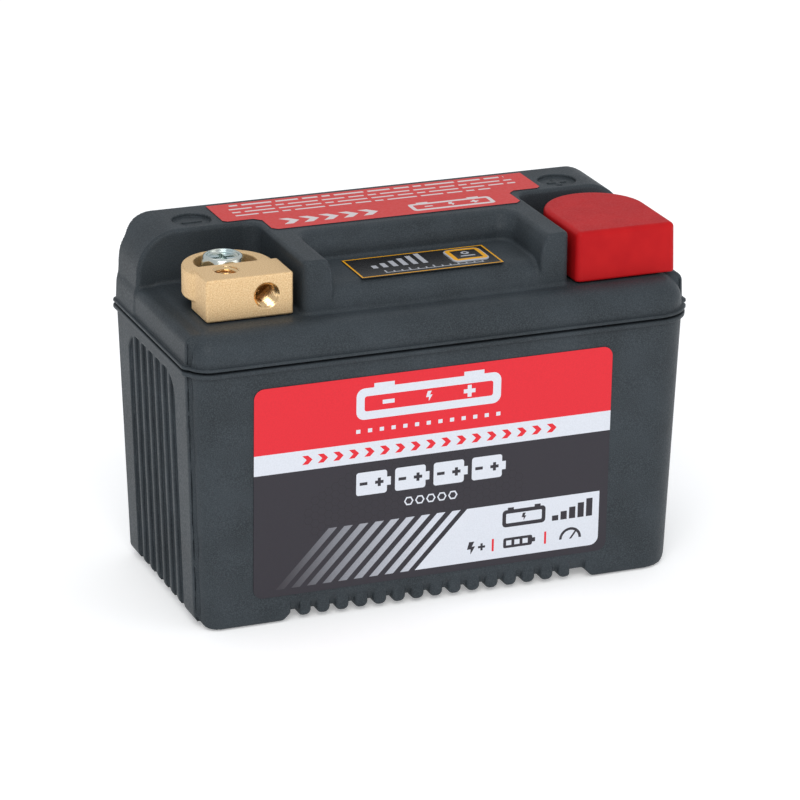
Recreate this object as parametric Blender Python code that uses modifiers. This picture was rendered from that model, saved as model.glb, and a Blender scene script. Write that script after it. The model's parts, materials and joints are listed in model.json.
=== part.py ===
"""A 12 V lithium motorcycle battery with brass terminals, a push-on terminal cap and a charge gauge.

Sizes are in millimetres and become metres as each mesh is made. The origin is the middle of the
case's footprint, +X runs along its length, -Y is the labelled front, and +Z is up.
"""
import math

import bmesh
import bpy
from mathutils import Matrix, Vector

MM = 0.001
GAP = 0.3                 # clearance between neighbouring pieces

# Case
LENGTH = 134.0            # over the rim
WIDTH = 65.0              # over the rim
HEIGHT = 89.0             # to the top plateau
RIM_Z = 67.0              # joint between tub and lid
RIM_HIGH = 1.1
RIM_PROUD = 0.85
SEAM = 0.3                # half of the visible gap between the two rims
CORNER_R = 8.0
PANEL_PROUD = 1.45        # the end panels stand proud of the body
PANEL_HALF_Y = 26.4
PANEL_R = 2.4
DRAFT_X = 2.2             # each side narrows by this much from rim to base
DRAFT_Y = 1.4
WALL = 2.1
FOOT_R = 6.0              # rounding along the short bottom edges
FLOOR_Z = 5.8
TONGUE_HIGH = 2.1

BODY_X = LENGTH / 2 - RIM_PROUD - PANEL_PROUD
BODY_Y = WIDTH / 2 - RIM_PROUD
PANEL_X = LENGTH / 2 - RIM_PROUD

# Ribs on the short ends and under the base
RIB_PITCH = 5.35
END_GROOVES = 7
GROOVE_WIDE = 3.3
GROOVE_DEEP = 1.7
GROOVE_TOP = 62.4
BASE_RIBS = 15
BASE_RIB_PITCH = 4.95
BASE_RIB_WIDE = 2.3
BASE_RAISE = 2.6
NOTCH_HALF_X = 41.5
NOTCH_TOP = 5.3

# Lid
SHELF_Z = 75.5            # terminal pocket floor
BULGE_R = 6.0
CROWN_END_R = 10.0
CROWN_REAR_R = 3.0
POCKET_X = 34.6           # inner wall of each terminal pocket
POCKET_BACK_Y = 11.5
BLOCK_FRONT_Y = -23.0     # front of the centre block
WELL_HALF_X = 27.0        # display well between the two arms
WELL_BACK_Y = -2.7
WELL_FLOOR_Z = 82.0
WELL_CREASE_Z = 85.2
WELL_FRONT_Y = -20.6
WELL_NOSE_Z = 77.5
LID_SKIN = 2.2
MARK_X = 49.0             # polarity discs
MARK_Y = 18.3
MARK_R = 4.85
MARK_DEEP = 0.6

# Terminals
TERMINAL_X = 48.7
BLOCK_SHIFT = 1.0         # both castings lie the same way round: block towards +X of the ring
BLOCK_HALF_X = 11.0
BLOCK_Y = (-21.3, -9.7)
BLOCK_Z = (SHELF_Z + GAP, 86.4)
RING_Y = -8.0
RING_R = 11.2
RING_Z = (78.4, 85.8)
RING_FLOOR_Z = 81.5
BORE_R = 7.7
BORE_Y = -6.2
SCREW_Y = -4.3
TAP_R = 3.0
TAP_TOP = (-2.6, -14.2)   # X from the ring's centre, and Y
TAP_FRONT = (5.2, 81.2)   # X from the ring's centre, and Z
TAP_DEEP = 8.6
SCREW_HEAD_Z = (82.9, 87.0)
PEDESTAL_Z = 78.1

# Positive terminal's cap
CAP_X = 49.7
CAP_HALF_X = 13.4
CAP_FRONT_Y = -23.6
CAP_BACK_Y = -4.9
CAP_Z = (75.9, 88.6)
CAP_WALL = 0.9

# Labels
LABEL_THICK = 0.3
LABEL_GAP = 0.1
FRONT_LABEL_X = (-50.5, 42.9)
FRONT_LABEL_Z = (7.1, 61.5)
TOP_LABEL_HALF_X = 42.4
TOP_LABEL_REAR_Y = 26.8
TOP_LABEL_FRONT_Y = 3.3

# Display
DISPLAY_HALF_X = 18.6
DISPLAY_Y = (-19.8, -5.4)
BUTTON_XY = (11.6, -12.2)
BUTTON_SIZE = (9.6, 9.0)
BAR_XS = [-12.6 + 2.1 * i for i in range(6)]
BAR_Y = -11.6
BOARD_Z = (74.6, 76.2)
BOARD_SCREW_X = 21.5

# Cells and their holders
CELL_R = 13.1
CELL_XS = (-40.5, -13.5, 13.5, 40.5)
CELL_Y = 13.6
CELL_Z = (7.5, 72.3)
HOLDERS = {"lower_cell_holder": (11.0, 15.0), "upper_cell_holder": (55.0, 59.0)}
TAB_THICK = 0.3

PARTS = "motorcycle_battery"
CUTS = "cutters"


# ---------------------------------------------------------------- scene and materials

def clear_scene():
    for thing in list(bpy.data.objects):
        bpy.data.objects.remove(thing, do_unlink=True)
    for name in (PARTS, CUTS):
        group = bpy.data.collections.new(name)
        bpy.context.scene.collection.children.link(group)


def material(name, colour, roughness, metallic=0.0):
    made = bpy.data.materials.get(name)
    if made is None:
        made = bpy.data.materials.new(name)
        made.use_nodes = True
        shader = made.node_tree.nodes["Principled BSDF"]
        shader.inputs["Base Color"].default_value = (*colour, 1.0)
        shader.inputs["Roughness"].default_value = roughness
        shader.inputs["Metallic"].default_value = metallic
    return made


LOOKS = {
    "case_plastic": ((0.060, 0.068, 0.075), 0.55, 0.0),
    "cap_plastic": ((0.55, 0.018, 0.022), 0.50, 0.0),
    "brass": ((0.70, 0.47, 0.24), 0.45, 1.0),
    "zinc_steel": ((0.62, 0.66, 0.66), 0.25, 1.0),
    "label_red": ((0.82, 0.045, 0.06), 0.40, 0.0),
    "label_black": ((0.02, 0.02, 0.022), 0.30, 0.0),
    "cell_sleeve": ((0.05, 0.20, 0.50), 0.35, 0.0),
    "nickel": ((0.66, 0.64, 0.60), 0.30, 1.0),
    "holder_plastic": ((0.03, 0.03, 0.03), 0.60, 0.0),
    "board_green": ((0.02, 0.16, 0.07), 0.45, 0.0),
    "chip_black": ((0.02, 0.02, 0.02), 0.50, 0.0),
    "connector_white": ((0.80, 0.78, 0.72), 0.50, 0.0),
    "led_red": ((0.75, 0.05, 0.04), 0.20, 0.0),
    "foam_grey": ((0.18, 0.18, 0.18), 0.95, 0.0),
    "wire_black": ((0.02, 0.02, 0.02), 0.50, 0.0),
    "wire_red": ((0.60, 0.03, 0.03), 0.50, 0.0),
}


def finish(thing, look, group=PARTS):
    """Put an object in its collection and give it its material."""
    bpy.data.collections[group].objects.link(thing)
    if group == CUTS:
        thing.hide_render = True
        thing.display_type = "WIRE"
    if look:
        thing.data.materials.append(material(look, *LOOKS[look]))
    return thing


# ---------------------------------------------------------------- shapes

def to_object(name, bm, look):
    bmesh.ops.recalc_face_normals(bm, faces=bm.faces)
    mesh = bpy.data.meshes.new(name)
    bm.to_mesh(mesh)
    bm.free()
    return finish(bpy.data.objects.new(name, mesh), look, PARTS if look else CUTS)


def edge_set(bm, kind):
    """The edges of a block that a named rounding applies to."""
    low = [min(v.co[i] for v in bm.verts) for i in range(3)]
    high = [max(v.co[i] for v in bm.verts) for i in range(3)]

    def runs(edge, axis):
        run = edge.verts[0].co - edge.verts[1].co
        return abs(run[axis]) > 0.8 * run.length

    def lies(edge, axis, plane):
        return all(abs(v.co[axis] - plane[axis]) < 0.5e-6 for v in edge.verts)

    tests = {
        "all": lambda e: True,
        "upright": lambda e: runs(e, 2),
        "front_upright": lambda e: runs(e, 2) and e.verts[0].co.y < 0,
        "rear_upright": lambda e: runs(e, 2) and e.verts[0].co.y > 0,
        "left_rear": lambda e: runs(e, 2) and e.verts[0].co.y > 0 and e.verts[0].co.x < 0,
        "right_rear": lambda e: runs(e, 2) and e.verts[0].co.y > 0 and e.verts[0].co.x > 0,
        "y_runs": lambda e: runs(e, 1),
        "top_x_runs": lambda e: runs(e, 0) and lies(e, 2, high),
        "top_y_runs": lambda e: runs(e, 1) and lies(e, 2, high),
        "foot_y_runs": lambda e: runs(e, 1) and lies(e, 2, low),
        "top_loop": lambda e: lies(e, 2, high),
        "top_rear": lambda e: lies(e, 1, high) and not lies(e, 2, low) and e.verts[0].co.z > 0,
    }
    return [e for e in bm.edges if tests[kind](e)]


def block(name, low, high, look=None, foot=None, rounds=()):
    """A box between two corners. foot is the bottom's own (x0, x1, y0, y1); rounds lists
    (edge set, radius, steps), applied in turn."""
    low, high = Vector(low), Vector(high)
    centre = (low + high) / 2
    if foot is None:
        foot = (low.x, high.x, low.y, high.y)
    bm = bmesh.new()
    bmesh.ops.create_cube(bm, size=1.0)
    for v in bm.verts:
        below = v.co.z < 0
        x = (foot[0] if below else low.x) if v.co.x < 0 else (foot[1] if below else high.x)
        y = (foot[2] if below else low.y) if v.co.y < 0 else (foot[3] if below else high.y)
        z = low.z if below else high.z
        v.co = (Vector((x, y, z)) - centre) * MM
    for kind, radius, steps in rounds:
        bmesh.ops.bevel(bm, geom=edge_set(bm, kind), offset=radius * MM, offset_type="OFFSET",
                        segments=steps, profile=0.5, affect="EDGES")
    bmesh.ops.translate(bm, vec=centre * MM, verts=bm.verts)
    return to_object(name, bm, look)


def blocks(name, boxes, look=None):
    """Several separate boxes in one mesh, each a (low, high) pair."""
    bm = bmesh.new()
    for low, high in boxes:
        low, high = Vector(low), Vector(high)
        size = (high - low) * MM
        place = Matrix.Translation((low + high) / 2 * MM) @ Matrix.Diagonal((*size, 1.0))
        bmesh.ops.create_cube(bm, size=1.0, matrix=place)
    return to_object(name, bm, look)


def rod(name, radius, low, high, look=None, sides=32, turn=0.0):
    """A cylinder or prism between two points on one axis."""
    low, high = Vector(low), Vector(high)
    run = high - low
    aim = run.to_track_quat("Z", "Y").to_matrix().to_4x4()
    place = Matrix.Translation((low + high) / 2 * MM) @ aim @ Matrix.Rotation(turn, 4, "Z")
    bm = bmesh.new()
    bmesh.ops.create_cone(bm, cap_ends=True, segments=sides, radius1=radius * MM,
                          radius2=radius * MM, depth=run.length * MM, matrix=place)
    return to_object(name, bm, look)


def turned(name, profile, foot, look=None, steps=28, axis="Z"):
    """A profile of (radius, height) points turned about Z, or about -Y, through foot."""
    bm = bmesh.new()
    verts = [bm.verts.new((r * MM, 0, h * MM)) for r, h in profile]
    for a, b in zip(verts, verts[1:]):
        bm.edges.new((a, b))
    if profile[0][0] > 0:
        bm.edges.new((verts[-1], verts[0]))
    mesh = bpy.data.meshes.new(name)
    bm.to_mesh(mesh)
    bm.free()
    thing = finish(bpy.data.objects.new(name, mesh), look, PARTS if look else CUTS)
    spin = thing.modifiers.new("turn", "SCREW")
    spin.steps = spin.render_steps = steps
    spin.use_merge_vertices = True
    spin.merge_threshold = 1e-6
    thing.location = Vector(foot) * MM
    if axis == "-Y":
        thing.rotation_euler = (math.pi / 2, 0, 0)
    return thing


def wire(name, points, radius, look, steps=14):
    """A round lead through hand-placed points, smoothed by a Catmull-Rom curve."""
    points = [Vector(p) for p in points]
    ends = [2 * points[0] - points[1], *points, 2 * points[-1] - points[-2]]
    count = max(2, steps // (len(points) - 1))
    path = []
    for a, b, c, d in zip(ends, ends[1:], ends[2:], ends[3:]):
        for i in range(count):
            t = i / count
            path.append(0.5 * (2 * b + (c - a) * t + (2 * a - 5 * b + 4 * c - d) * t * t
                               + (3 * b - a - 3 * c + d) * t ** 3))
    path.append(points[-1])
    curve = bpy.data.curves.new(name, "CURVE")
    curve.dimensions = "3D"
    curve.bevel_depth = radius * MM
    curve.bevel_resolution = 2
    curve.use_fill_caps = True
    line = curve.splines.new("POLY")
    line.points.add(len(path) - 1)
    for point, place in zip(line.points, path):
        point.co = (*(place * MM), 1.0)
    return finish(bpy.data.objects.new(name, curve), look)


def combine(target, tool, operation="DIFFERENCE"):
    """Cut, join or intersect two meshes."""
    step = target.modifiers.new(tool.name, "BOOLEAN")
    step.operation = operation
    step.solver = "EXACT"
    step.object = tool
    return target


def side(sign):
    return "positive" if sign > 0 else "negative"


# ---------------------------------------------------------------- case

def drafted(name, z0, z1, half_x, half_y, radius, rounds=(), look=None, inset=0.0):
    """A rounded block that narrows away from the rim, where its half sizes are given."""
    def at(z):
        slope = abs(RIM_Z - z) / RIM_Z
        return half_x - inset - DRAFT_X * slope, half_y - inset - DRAFT_Y * slope
    x0, y0 = at(z0)
    x1, y1 = at(z1)
    return block(name, (-x1, -y1, z0), (x1, y1, z1), look, foot=(-x0, x0, -y0, y0),
                 rounds=[("upright", radius, 6), *rounds])


def rim(name, z0, z1):
    """The bead around the joint: the body's outline and the end panels' outline together."""
    half_x = BODY_X + RIM_PROUD
    ring = block(name, (-half_x, -WIDTH / 2, z0), (half_x, WIDTH / 2, z1),
                 rounds=[("upright", CORNER_R + RIM_PROUD, 6)])
    ends = block(name + "_ends", (-LENGTH / 2, -PANEL_HALF_Y - RIM_PROUD, z0),
                 (LENGTH / 2, PANEL_HALF_Y + RIM_PROUD, z1), rounds=[("upright", PANEL_R, 3)])
    return combine(ring, ends, "UNION")


def end_grooves(sign):
    """The vertical grooves of one end panel, rounded off at their top corners."""
    half = (END_GROOVES - 1) / 2
    floor = PANEL_X - GROOVE_DEEP
    boxes = []
    for i in range(END_GROOVES):
        y = (i - half) * RIB_PITCH
        ends = sorted((sign * floor, sign * (PANEL_X + 3)))
        boxes.append(((ends[0], y - GROOVE_WIDE / 2, -2), (ends[1], y + GROOVE_WIDE / 2, 70)))
    grooves = blocks(f"grooves_{side(sign)}", boxes)
    reach = half * RIB_PITCH + GROOVE_WIDE / 2 + 0.1
    ends = sorted((sign * (floor - 2), sign * (PANEL_X + 5)))
    field = block(f"groove_field_{side(sign)}", (ends[0], -reach, -5), (ends[1], reach, GROOVE_TOP),
                  rounds=[("top_x_runs", 6.5, 4)])
    return combine(grooves, field, "INTERSECT")


def tub():
    case = drafted("case_tub", 0.0, RIM_Z - SEAM - 0.1, BODY_X, BODY_Y, CORNER_R,
                   look="case_plastic")
    x_foot = BODY_X - DRAFT_X
    combine(case, block("tub_profile", (-BODY_X - 1, -50, -0.02), (BODY_X + 1, 50, 90),
                        foot=(-x_foot, x_foot, -50, 50), rounds=[("foot_y_runs", FOOT_R, 6)]),
            "INTERSECT")
    panels = drafted("tub_panels", 0.3, RIM_Z - SEAM - 0.15, PANEL_X, PANEL_HALF_Y + 1.4, PANEL_R)
    combine(panels, block("panel_profile", (-PANEL_X - 1, -50, 0.4), (PANEL_X + 1, 50, 90),
                          foot=(-PANEL_X + DRAFT_X, PANEL_X - DRAFT_X, -50, 50),
                          rounds=[("foot_y_runs", FOOT_R + 0.5, 6)]), "INTERSECT")
    for sign in (-1, 1):
        combine(panels, end_grooves(sign))
    combine(case, panels, "UNION")
    combine(case, rim("tub_rim", RIM_Z - SEAM - RIM_HIGH, RIM_Z - SEAM), "UNION")
    tongue = WALL - 1.0
    combine(case, drafted("tongue", 40.0, RIM_Z + TONGUE_HIGH, BODY_X - tongue, BODY_Y - tongue,
                          CORNER_R - tongue), "UNION")
    combine(case, drafted("tub_cavity", FLOOR_Z, 80.0, BODY_X - WALL, BODY_Y - WALL,
                          CORNER_R - WALL))
    spread = NOTCH_HALF_X + 2 * BASE_RAISE
    combine(case, block("base_arch", (-NOTCH_HALF_X, -50, -BASE_RAISE),
                        (NOTCH_HALF_X, 50, BASE_RAISE), foot=(-spread, spread, -50, 50)))
    face = BODY_Y - DRAFT_Y
    combine(case, blocks("base_slots", [
        ((-NOTCH_HALF_X, -50, 1.0), (NOTCH_HALF_X, -face + 1.2, NOTCH_TOP)),
        ((-NOTCH_HALF_X, face - 1.2, 1.0), (NOTCH_HALF_X, 50, NOTCH_TOP))]))
    combine(case, base_ribs("base_ribs", face), "UNION")
    combine(case, rib_posts("rib_posts", face), "UNION")
    return case


def rib_centres():
    half = (BASE_RIBS - 1) / 2
    return [(i - half) * BASE_RIB_PITCH for i in range(BASE_RIBS)]


def base_ribs(name, face):
    return blocks(name, [((x - BASE_RIB_WIDE / 2, -face + 0.3, 1.4),
                          (x + BASE_RIB_WIDE / 2, face - 0.3, BASE_RAISE + 1)) for x in rib_centres()])


def rib_posts(name, face):
    """Each rib turns up across the notch in the front and rear walls."""
    boxes = []
    for x in rib_centres():
        for sign in (-1, 1):
            y0, y1 = sorted((sign * (face - 0.35), sign * (face - 1.7)))
            boxes.append(((x - BASE_RIB_WIDE / 2 + 0.05, y0, 1.45),
                          (x + BASE_RIB_WIDE / 2 - 0.05, y1, NOTCH_TOP + 0.4)))
    return blocks(name, boxes)


def lid():
    skin_z = RIM_Z + SEAM
    cover = drafted("case_lid", skin_z + 0.1, HEIGHT + 4, BODY_X, BODY_Y, CORNER_R,
                    look="case_plastic")
    combine(cover, drafted("crown_panels", skin_z + 0.15, HEIGHT + 3, PANEL_X, PANEL_HALF_Y + 0.8,
                           PANEL_R), "UNION")
    combine(cover, crown_profile(), "INTERSECT")
    combine(cover, block("front_cut", (-90, -60, 50), (90, BLOCK_FRONT_Y, 120)))
    for sign in (-1, 1):
        x0, x1 = sorted((sign * POCKET_X, sign * 90))
        corner = "left_rear" if sign > 0 else "right_rear"
        combine(cover, block(f"pocket_{side(sign)}", (x0, -70, 50), (x1, POCKET_BACK_Y, 120),
                             rounds=[(corner, 4.0, 4)]))
        polarity_mark(cover, sign)
    base = drafted("lid_base", skin_z + 0.2, SHELF_Z, BODY_X, BODY_Y, CORNER_R,
                   rounds=[("top_loop", BULGE_R, 4)], inset=0.05)
    combine(base, drafted("base_panels", skin_z + 0.25, SHELF_Z - 0.02, PANEL_X, PANEL_HALF_Y + 0.8,
                          PANEL_R, rounds=[("top_loop", 2.2, 2)], inset=0.05), "UNION")
    combine(cover, base, "UNION")
    combine(cover, rim("lid_rim", skin_z, skin_z + RIM_HIGH), "UNION")
    display_recess(cover)
    combine(cover, lid_cavity())
    for sign in (-1, 1):
        combine(cover, turned(f"boss_{side(sign)}", [(0, 7.6), (5.0, 7.6), (5.0, 4.6), (6.2, 4.6),
                                                     (6.2, 0), (0, 0)],
                              (sign * TERMINAL_X, SCREW_Y, PEDESTAL_Z - 7.6)), "UNION")
    for sign in (-1, 1):
        combine(cover, rod(f"boss_bore_{side(sign)}", 4.1, (sign * TERMINAL_X, SCREW_Y, 60),
                           (sign * TERMINAL_X, SCREW_Y, 80), sides=30, turn=0.04))
    board_mounts(cover)
    return cover


def crown_profile():
    """The plateau's rounded ends and its rounded rear edge."""
    return block("crown_profile", (-64.9, -60, 20), (64.9, BODY_Y - 0.2, HEIGHT),
                 foot=(-69.8, 69.8, -60, BODY_Y + 1.0),
                 rounds=[("top_y_runs", CROWN_END_R, 7), ("top_rear", CROWN_REAR_R, 3)])


def display_recess(cover):
    """The well between the arms, with a sloping lip above it and a sloping nose in front."""
    rise = 2 * (HEIGHT - WELL_CREASE_Z)
    combine(cover, block("well_lip", (-WELL_HALF_X - 3.2, -60, WELL_CREASE_Z),
                         (WELL_HALF_X + 3.2, WELL_BACK_Y + 6.0, WELL_CREASE_Z + rise),
                         foot=(-WELL_HALF_X, WELL_HALF_X, -60, WELL_BACK_Y),
                         rounds=[("rear_upright", 4.0, 4)]))
    combine(cover, block("well", (-WELL_HALF_X, -60, WELL_FLOOR_Z), (WELL_HALF_X, WELL_BACK_Y, 100),
                         rounds=[("rear_upright", 4.0, 4)]))
    slope = (WELL_FRONT_Y - BLOCK_FRONT_Y) / (WELL_FLOOR_Z - WELL_NOSE_Z)
    combine(cover, block("well_nose", (-WELL_HALF_X, -60, WELL_NOSE_Z),
                         (WELL_HALF_X, WELL_FRONT_Y + 0.5 * slope, WELL_FLOOR_Z + 0.5),
                         foot=(-WELL_HALF_X, WELL_HALF_X, -60, BLOCK_FRONT_Y)))


def polarity_mark(cover, sign):
    x = sign * MARK_X
    combine(cover, rod(f"mark_{side(sign)}", MARK_R, (x, MARK_Y, HEIGHT - MARK_DEEP),
                       (x, MARK_Y, HEIGHT + 5), sides=36, turn=0.03))
    low, high = HEIGHT - MARK_DEEP - 0.5, HEIGHT - 0.25
    combine(cover, block(f"mark_bar_{side(sign)}", (x - 2.6, MARK_Y - 0.55, low),
                         (x + 2.6, MARK_Y + 0.55, high)), "UNION")
    if sign > 0:
        combine(cover, block("mark_stem", (x - 0.55, MARK_Y - 2.6, low - 0.01),
                             (x + 0.55, MARK_Y + 2.6, high + 0.01)), "UNION")


def lid_cavity():
    """The hollow under the lid: over the whole tub, under the plateau and under the display."""
    hollow = drafted("lid_cavity", 60.0, SHELF_Z - LID_SKIN, BODY_X - WALL - 0.1,
                     BODY_Y - WALL - 0.1, CORNER_R - WALL, rounds=[("top_loop", 3.0, 3)])
    seat = BODY_X - WALL + 1.0 + GAP
    combine(hollow, drafted("tongue_seat", 60.5, RIM_Z + TONGUE_HIGH + GAP, seat,
                            seat - BODY_X + BODY_Y, CORNER_R - WALL + 1.2), "UNION")
    combine(hollow, block("plateau_hollow", (-62.0, POCKET_BACK_Y + LID_SKIN, 60),
                          (62.0, BODY_Y - WALL - 0.8, HEIGHT - LID_SKIN),
                          rounds=[("top_y_runs", 9.0, 5)]), "UNION")
    combine(hollow, block("centre_hollow", (-POCKET_X + LID_SKIN, 2.0, 61),
                          (POCKET_X - LID_SKIN, POCKET_BACK_Y + 6, HEIGHT - LID_SKIN - 0.1)), "UNION")
    combine(hollow, block("display_hollow", (-POCKET_X + LID_SKIN + 0.1, -19.6, 61.2),
                          (POCKET_X - LID_SKIN - 0.1, POCKET_BACK_Y + 5, WELL_FLOOR_Z - LID_SKIN)),
            "UNION")
    return hollow


def board_mounts(cover):
    """Screw posts for the display board, light holes over its lamps, and the button's hole."""
    y = (DISPLAY_Y[0] + DISPLAY_Y[1]) / 2
    for sign in (-1, 1):
        x = sign * BOARD_SCREW_X
        combine(cover, rod(f"post_{side(sign)}", 2.3, (x, y, BOARD_Z[1] + GAP),
                           (x, y, WELL_FLOOR_Z - 1), sides=16), "UNION")
        combine(cover, rod(f"pilot_{side(sign)}", 1.05, (x, y, BOARD_Z[1] - 1),
                           (x, y, WELL_FLOOR_Z - 1.5), sides=12))
    for i, bar_x in enumerate(BAR_XS):
        combine(cover, rod(f"light_hole_{i + 1}", 0.8, (bar_x, BAR_Y, 70), (bar_x, BAR_Y, 86),
                           sides=12))
    bx, by = BUTTON_XY
    wide, deep = (s / 2 + GAP for s in BUTTON_SIZE)
    combine(cover, block("button_seat", (bx - wide, by - deep, WELL_FLOOR_Z - 0.7),
                         (bx + wide, by + deep, WELL_FLOOR_Z + 1), rounds=[("upright", 1.5, 3)]))
    combine(cover, rod("button_hole", 2.2, (bx, by, 70), (bx, by, 86), sides=20))


# ---------------------------------------------------------------- labels

def front_label():
    """A thin sheet on the drafted front face."""
    tilt = math.atan2(DRAFT_Y, RIM_Z)
    x0, x1 = FRONT_LABEL_X
    z0, z1 = FRONT_LABEL_Z
    sheet = block("front_label", (x0, 0, z0), (x1, LABEL_THICK, z1), "label_red",
                  rounds=[("y_runs", 2.6, 4)])
    sheet.rotation_euler = (tilt, 0, 0)
    sheet.location = Vector((0, -(BODY_Y - DRAFT_Y) - LABEL_GAP - LABEL_THICK, 0)) * MM
    return sheet


def top_label():
    low, high = HEIGHT + LABEL_GAP, HEIGHT + LABEL_GAP + LABEL_THICK
    sheet = block("top_label", (-TOP_LABEL_HALF_X, POCKET_BACK_Y + 1.4, low),
                  (TOP_LABEL_HALF_X, TOP_LABEL_REAR_Y, high), "label_red",
                  rounds=[("upright", 1.0, 2)])
    tongue = block("top_label_tongue", (-POCKET_X + 1.6, TOP_LABEL_FRONT_Y, low),
                   (POCKET_X - 1.6, TOP_LABEL_REAR_Y - 5, high), rounds=[("upright", 1.0, 2)])
    return combine(sheet, tongue, "UNION")


def display_label():
    """The gauge's printed film, open around the test button's pad."""
    low = WELL_FLOOR_Z + LABEL_GAP
    film = block("display_label", (-DISPLAY_HALF_X, DISPLAY_Y[0], low),
                 (DISPLAY_HALF_X, DISPLAY_Y[1], low + LABEL_THICK), "label_black")
    bx, by = BUTTON_XY
    wide, deep = (s / 2 + 0.15 for s in BUTTON_SIZE)
    return combine(film, block("button_window", (bx - wide, by - deep, 80), (bx + wide, by + deep, 84),
                               rounds=[("upright", 1.5, 3)]))


# ---------------------------------------------------------------- terminals

def terminal(sign):
    """A cast block with a D-shaped ring behind it, tapped on its top and front."""
    x = sign * TERMINAL_X
    name = side(sign) + "_terminal"
    middle = x + BLOCK_SHIFT
    body = block(name, (middle - BLOCK_HALF_X, BLOCK_Y[0], BLOCK_Z[0]),
                 (middle + BLOCK_HALF_X, BLOCK_Y[1], BLOCK_Z[1]), "brass", rounds=[("all", 0.7, 2)])
    combine(body, rod(name + "_ring", RING_R, (x, RING_Y, RING_Z[0]), (x, RING_Y, RING_Z[1]),
                      sides=40), "UNION")
    bore = rod(name + "_bore", BORE_R, (x, BORE_Y, RING_FLOOR_Z), (x, BORE_Y, 95), sides=36)
    combine(bore, block(name + "_bore_cut", (x - 20, BLOCK_Y[1] + 0.02, 70), (x + 20, 20, 99)),
            "INTERSECT")
    combine(body, bore)
    combine(body, rod(name + "_hole", 3.3, (x, SCREW_Y, 70), (x, SCREW_Y, 84), sides=24))
    tap = [(0, 1.0), (TAP_R + 1.2, 1.0), (TAP_R, -0.3), (TAP_R, -TAP_DEEP), (0, -TAP_DEEP - 1.2)]
    combine(body, turned(name + "_tap_top", tap, (x + TAP_TOP[0], TAP_TOP[1], BLOCK_Z[1]),
                         steps=24))
    combine(body, turned(name + "_tap_front", tap, (x + TAP_FRONT[0], BLOCK_Y[0],
                                                    TAP_FRONT[1]), steps=24, axis="-Y"))
    return body


def terminal_fastening(sign):
    """Hex screw, spring washer, threaded insert, ring lug and nut on one axis."""
    x, y, name = sign * TERMINAL_X, SCREW_Y, side(sign)
    low, high = SCREW_HEAD_Z
    head = rod(name + "_screw", 5.65, (x, y, low), (x, y, high), "zinc_steel", sides=6,
               turn=math.pi / 6)
    combine(head, rod(name + "_screw_shank", 2.85, (x, y, 71.0), (x, y, low + 1), sides=20), "UNION")
    for kind, dx, dy in (("slot", 2.6, 0.5), ("cross", 0.5, 2.6)):
        combine(head, block(f"{name}_screw_{kind}", (x - dx, y - dy, high - 1.4 - dx / 100),
                            (x + dx, y + dy, high + 1)))
    turned(name + "_spring_washer", [(3.2, 1.0), (5.4, 1.0), (5.4, 0), (3.2, 0)],
           (x, y, RING_FLOOR_Z + 0.15), "zinc_steel")
    top = PEDESTAL_Z - 66.0
    turned(name + "_insert", [(3.15, top), (3.8, top), (3.8, 0), (3.15, 0)], (x, y, 66.0), "brass")
    lug = rod(name + "_lug", 5.6, (x, y, 69.2), (x, y, 70.0), "zinc_steel", sides=28)
    combine(lug, block(name + "_lug_neck", (x - 2.2, y - 8.5, 69.25), (x + 2.2, y - 3, 69.95)),
            "UNION")
    combine(lug, rod(name + "_lug_barrel", 2.6, (x, y - 7.5, 69.6), (x, y - 12.5, 69.6), sides=20),
            "UNION")
    combine(lug, rod(name + "_lug_eye", 4.1, (x, y, 60), (x, y, 72), sides=28))
    nut = rod(name + "_nut", 5.6, (x, y, 66.2), (x, y, 68.9), "zinc_steel", sides=6)
    combine(nut, rod(name + "_nut_bore", 4.1, (x, y, 60), (x, y, 72), sides=28))


def cap_shape(name, grow, z0, z1, look=None, rounds=()):
    """A block with a half-round back, grown outwards from the cap's cavity."""
    half = CAP_HALF_X - CAP_WALL + grow
    front = CAP_FRONT_Y + 1.7 - grow * 1.7 / CAP_WALL
    box = block(name, (CAP_X - half, front, z0), (CAP_X + half, CAP_BACK_Y, z1), look, rounds=rounds)
    back = rod(name + "_back", half, (CAP_X, CAP_BACK_Y, z0), (CAP_X, CAP_BACK_Y, z1), sides=48)
    return combine(box, back, "UNION")


def terminal_cap():
    cap = cap_shape("terminal_cap", CAP_WALL, *CAP_Z, "cap_plastic", [("front_upright", 1.6, 3)])
    return combine(cap, cap_shape("cap_cavity", 0.0, CAP_Z[0] - 1, SCREW_HEAD_Z[1] + GAP))


# ---------------------------------------------------------------- display

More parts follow.
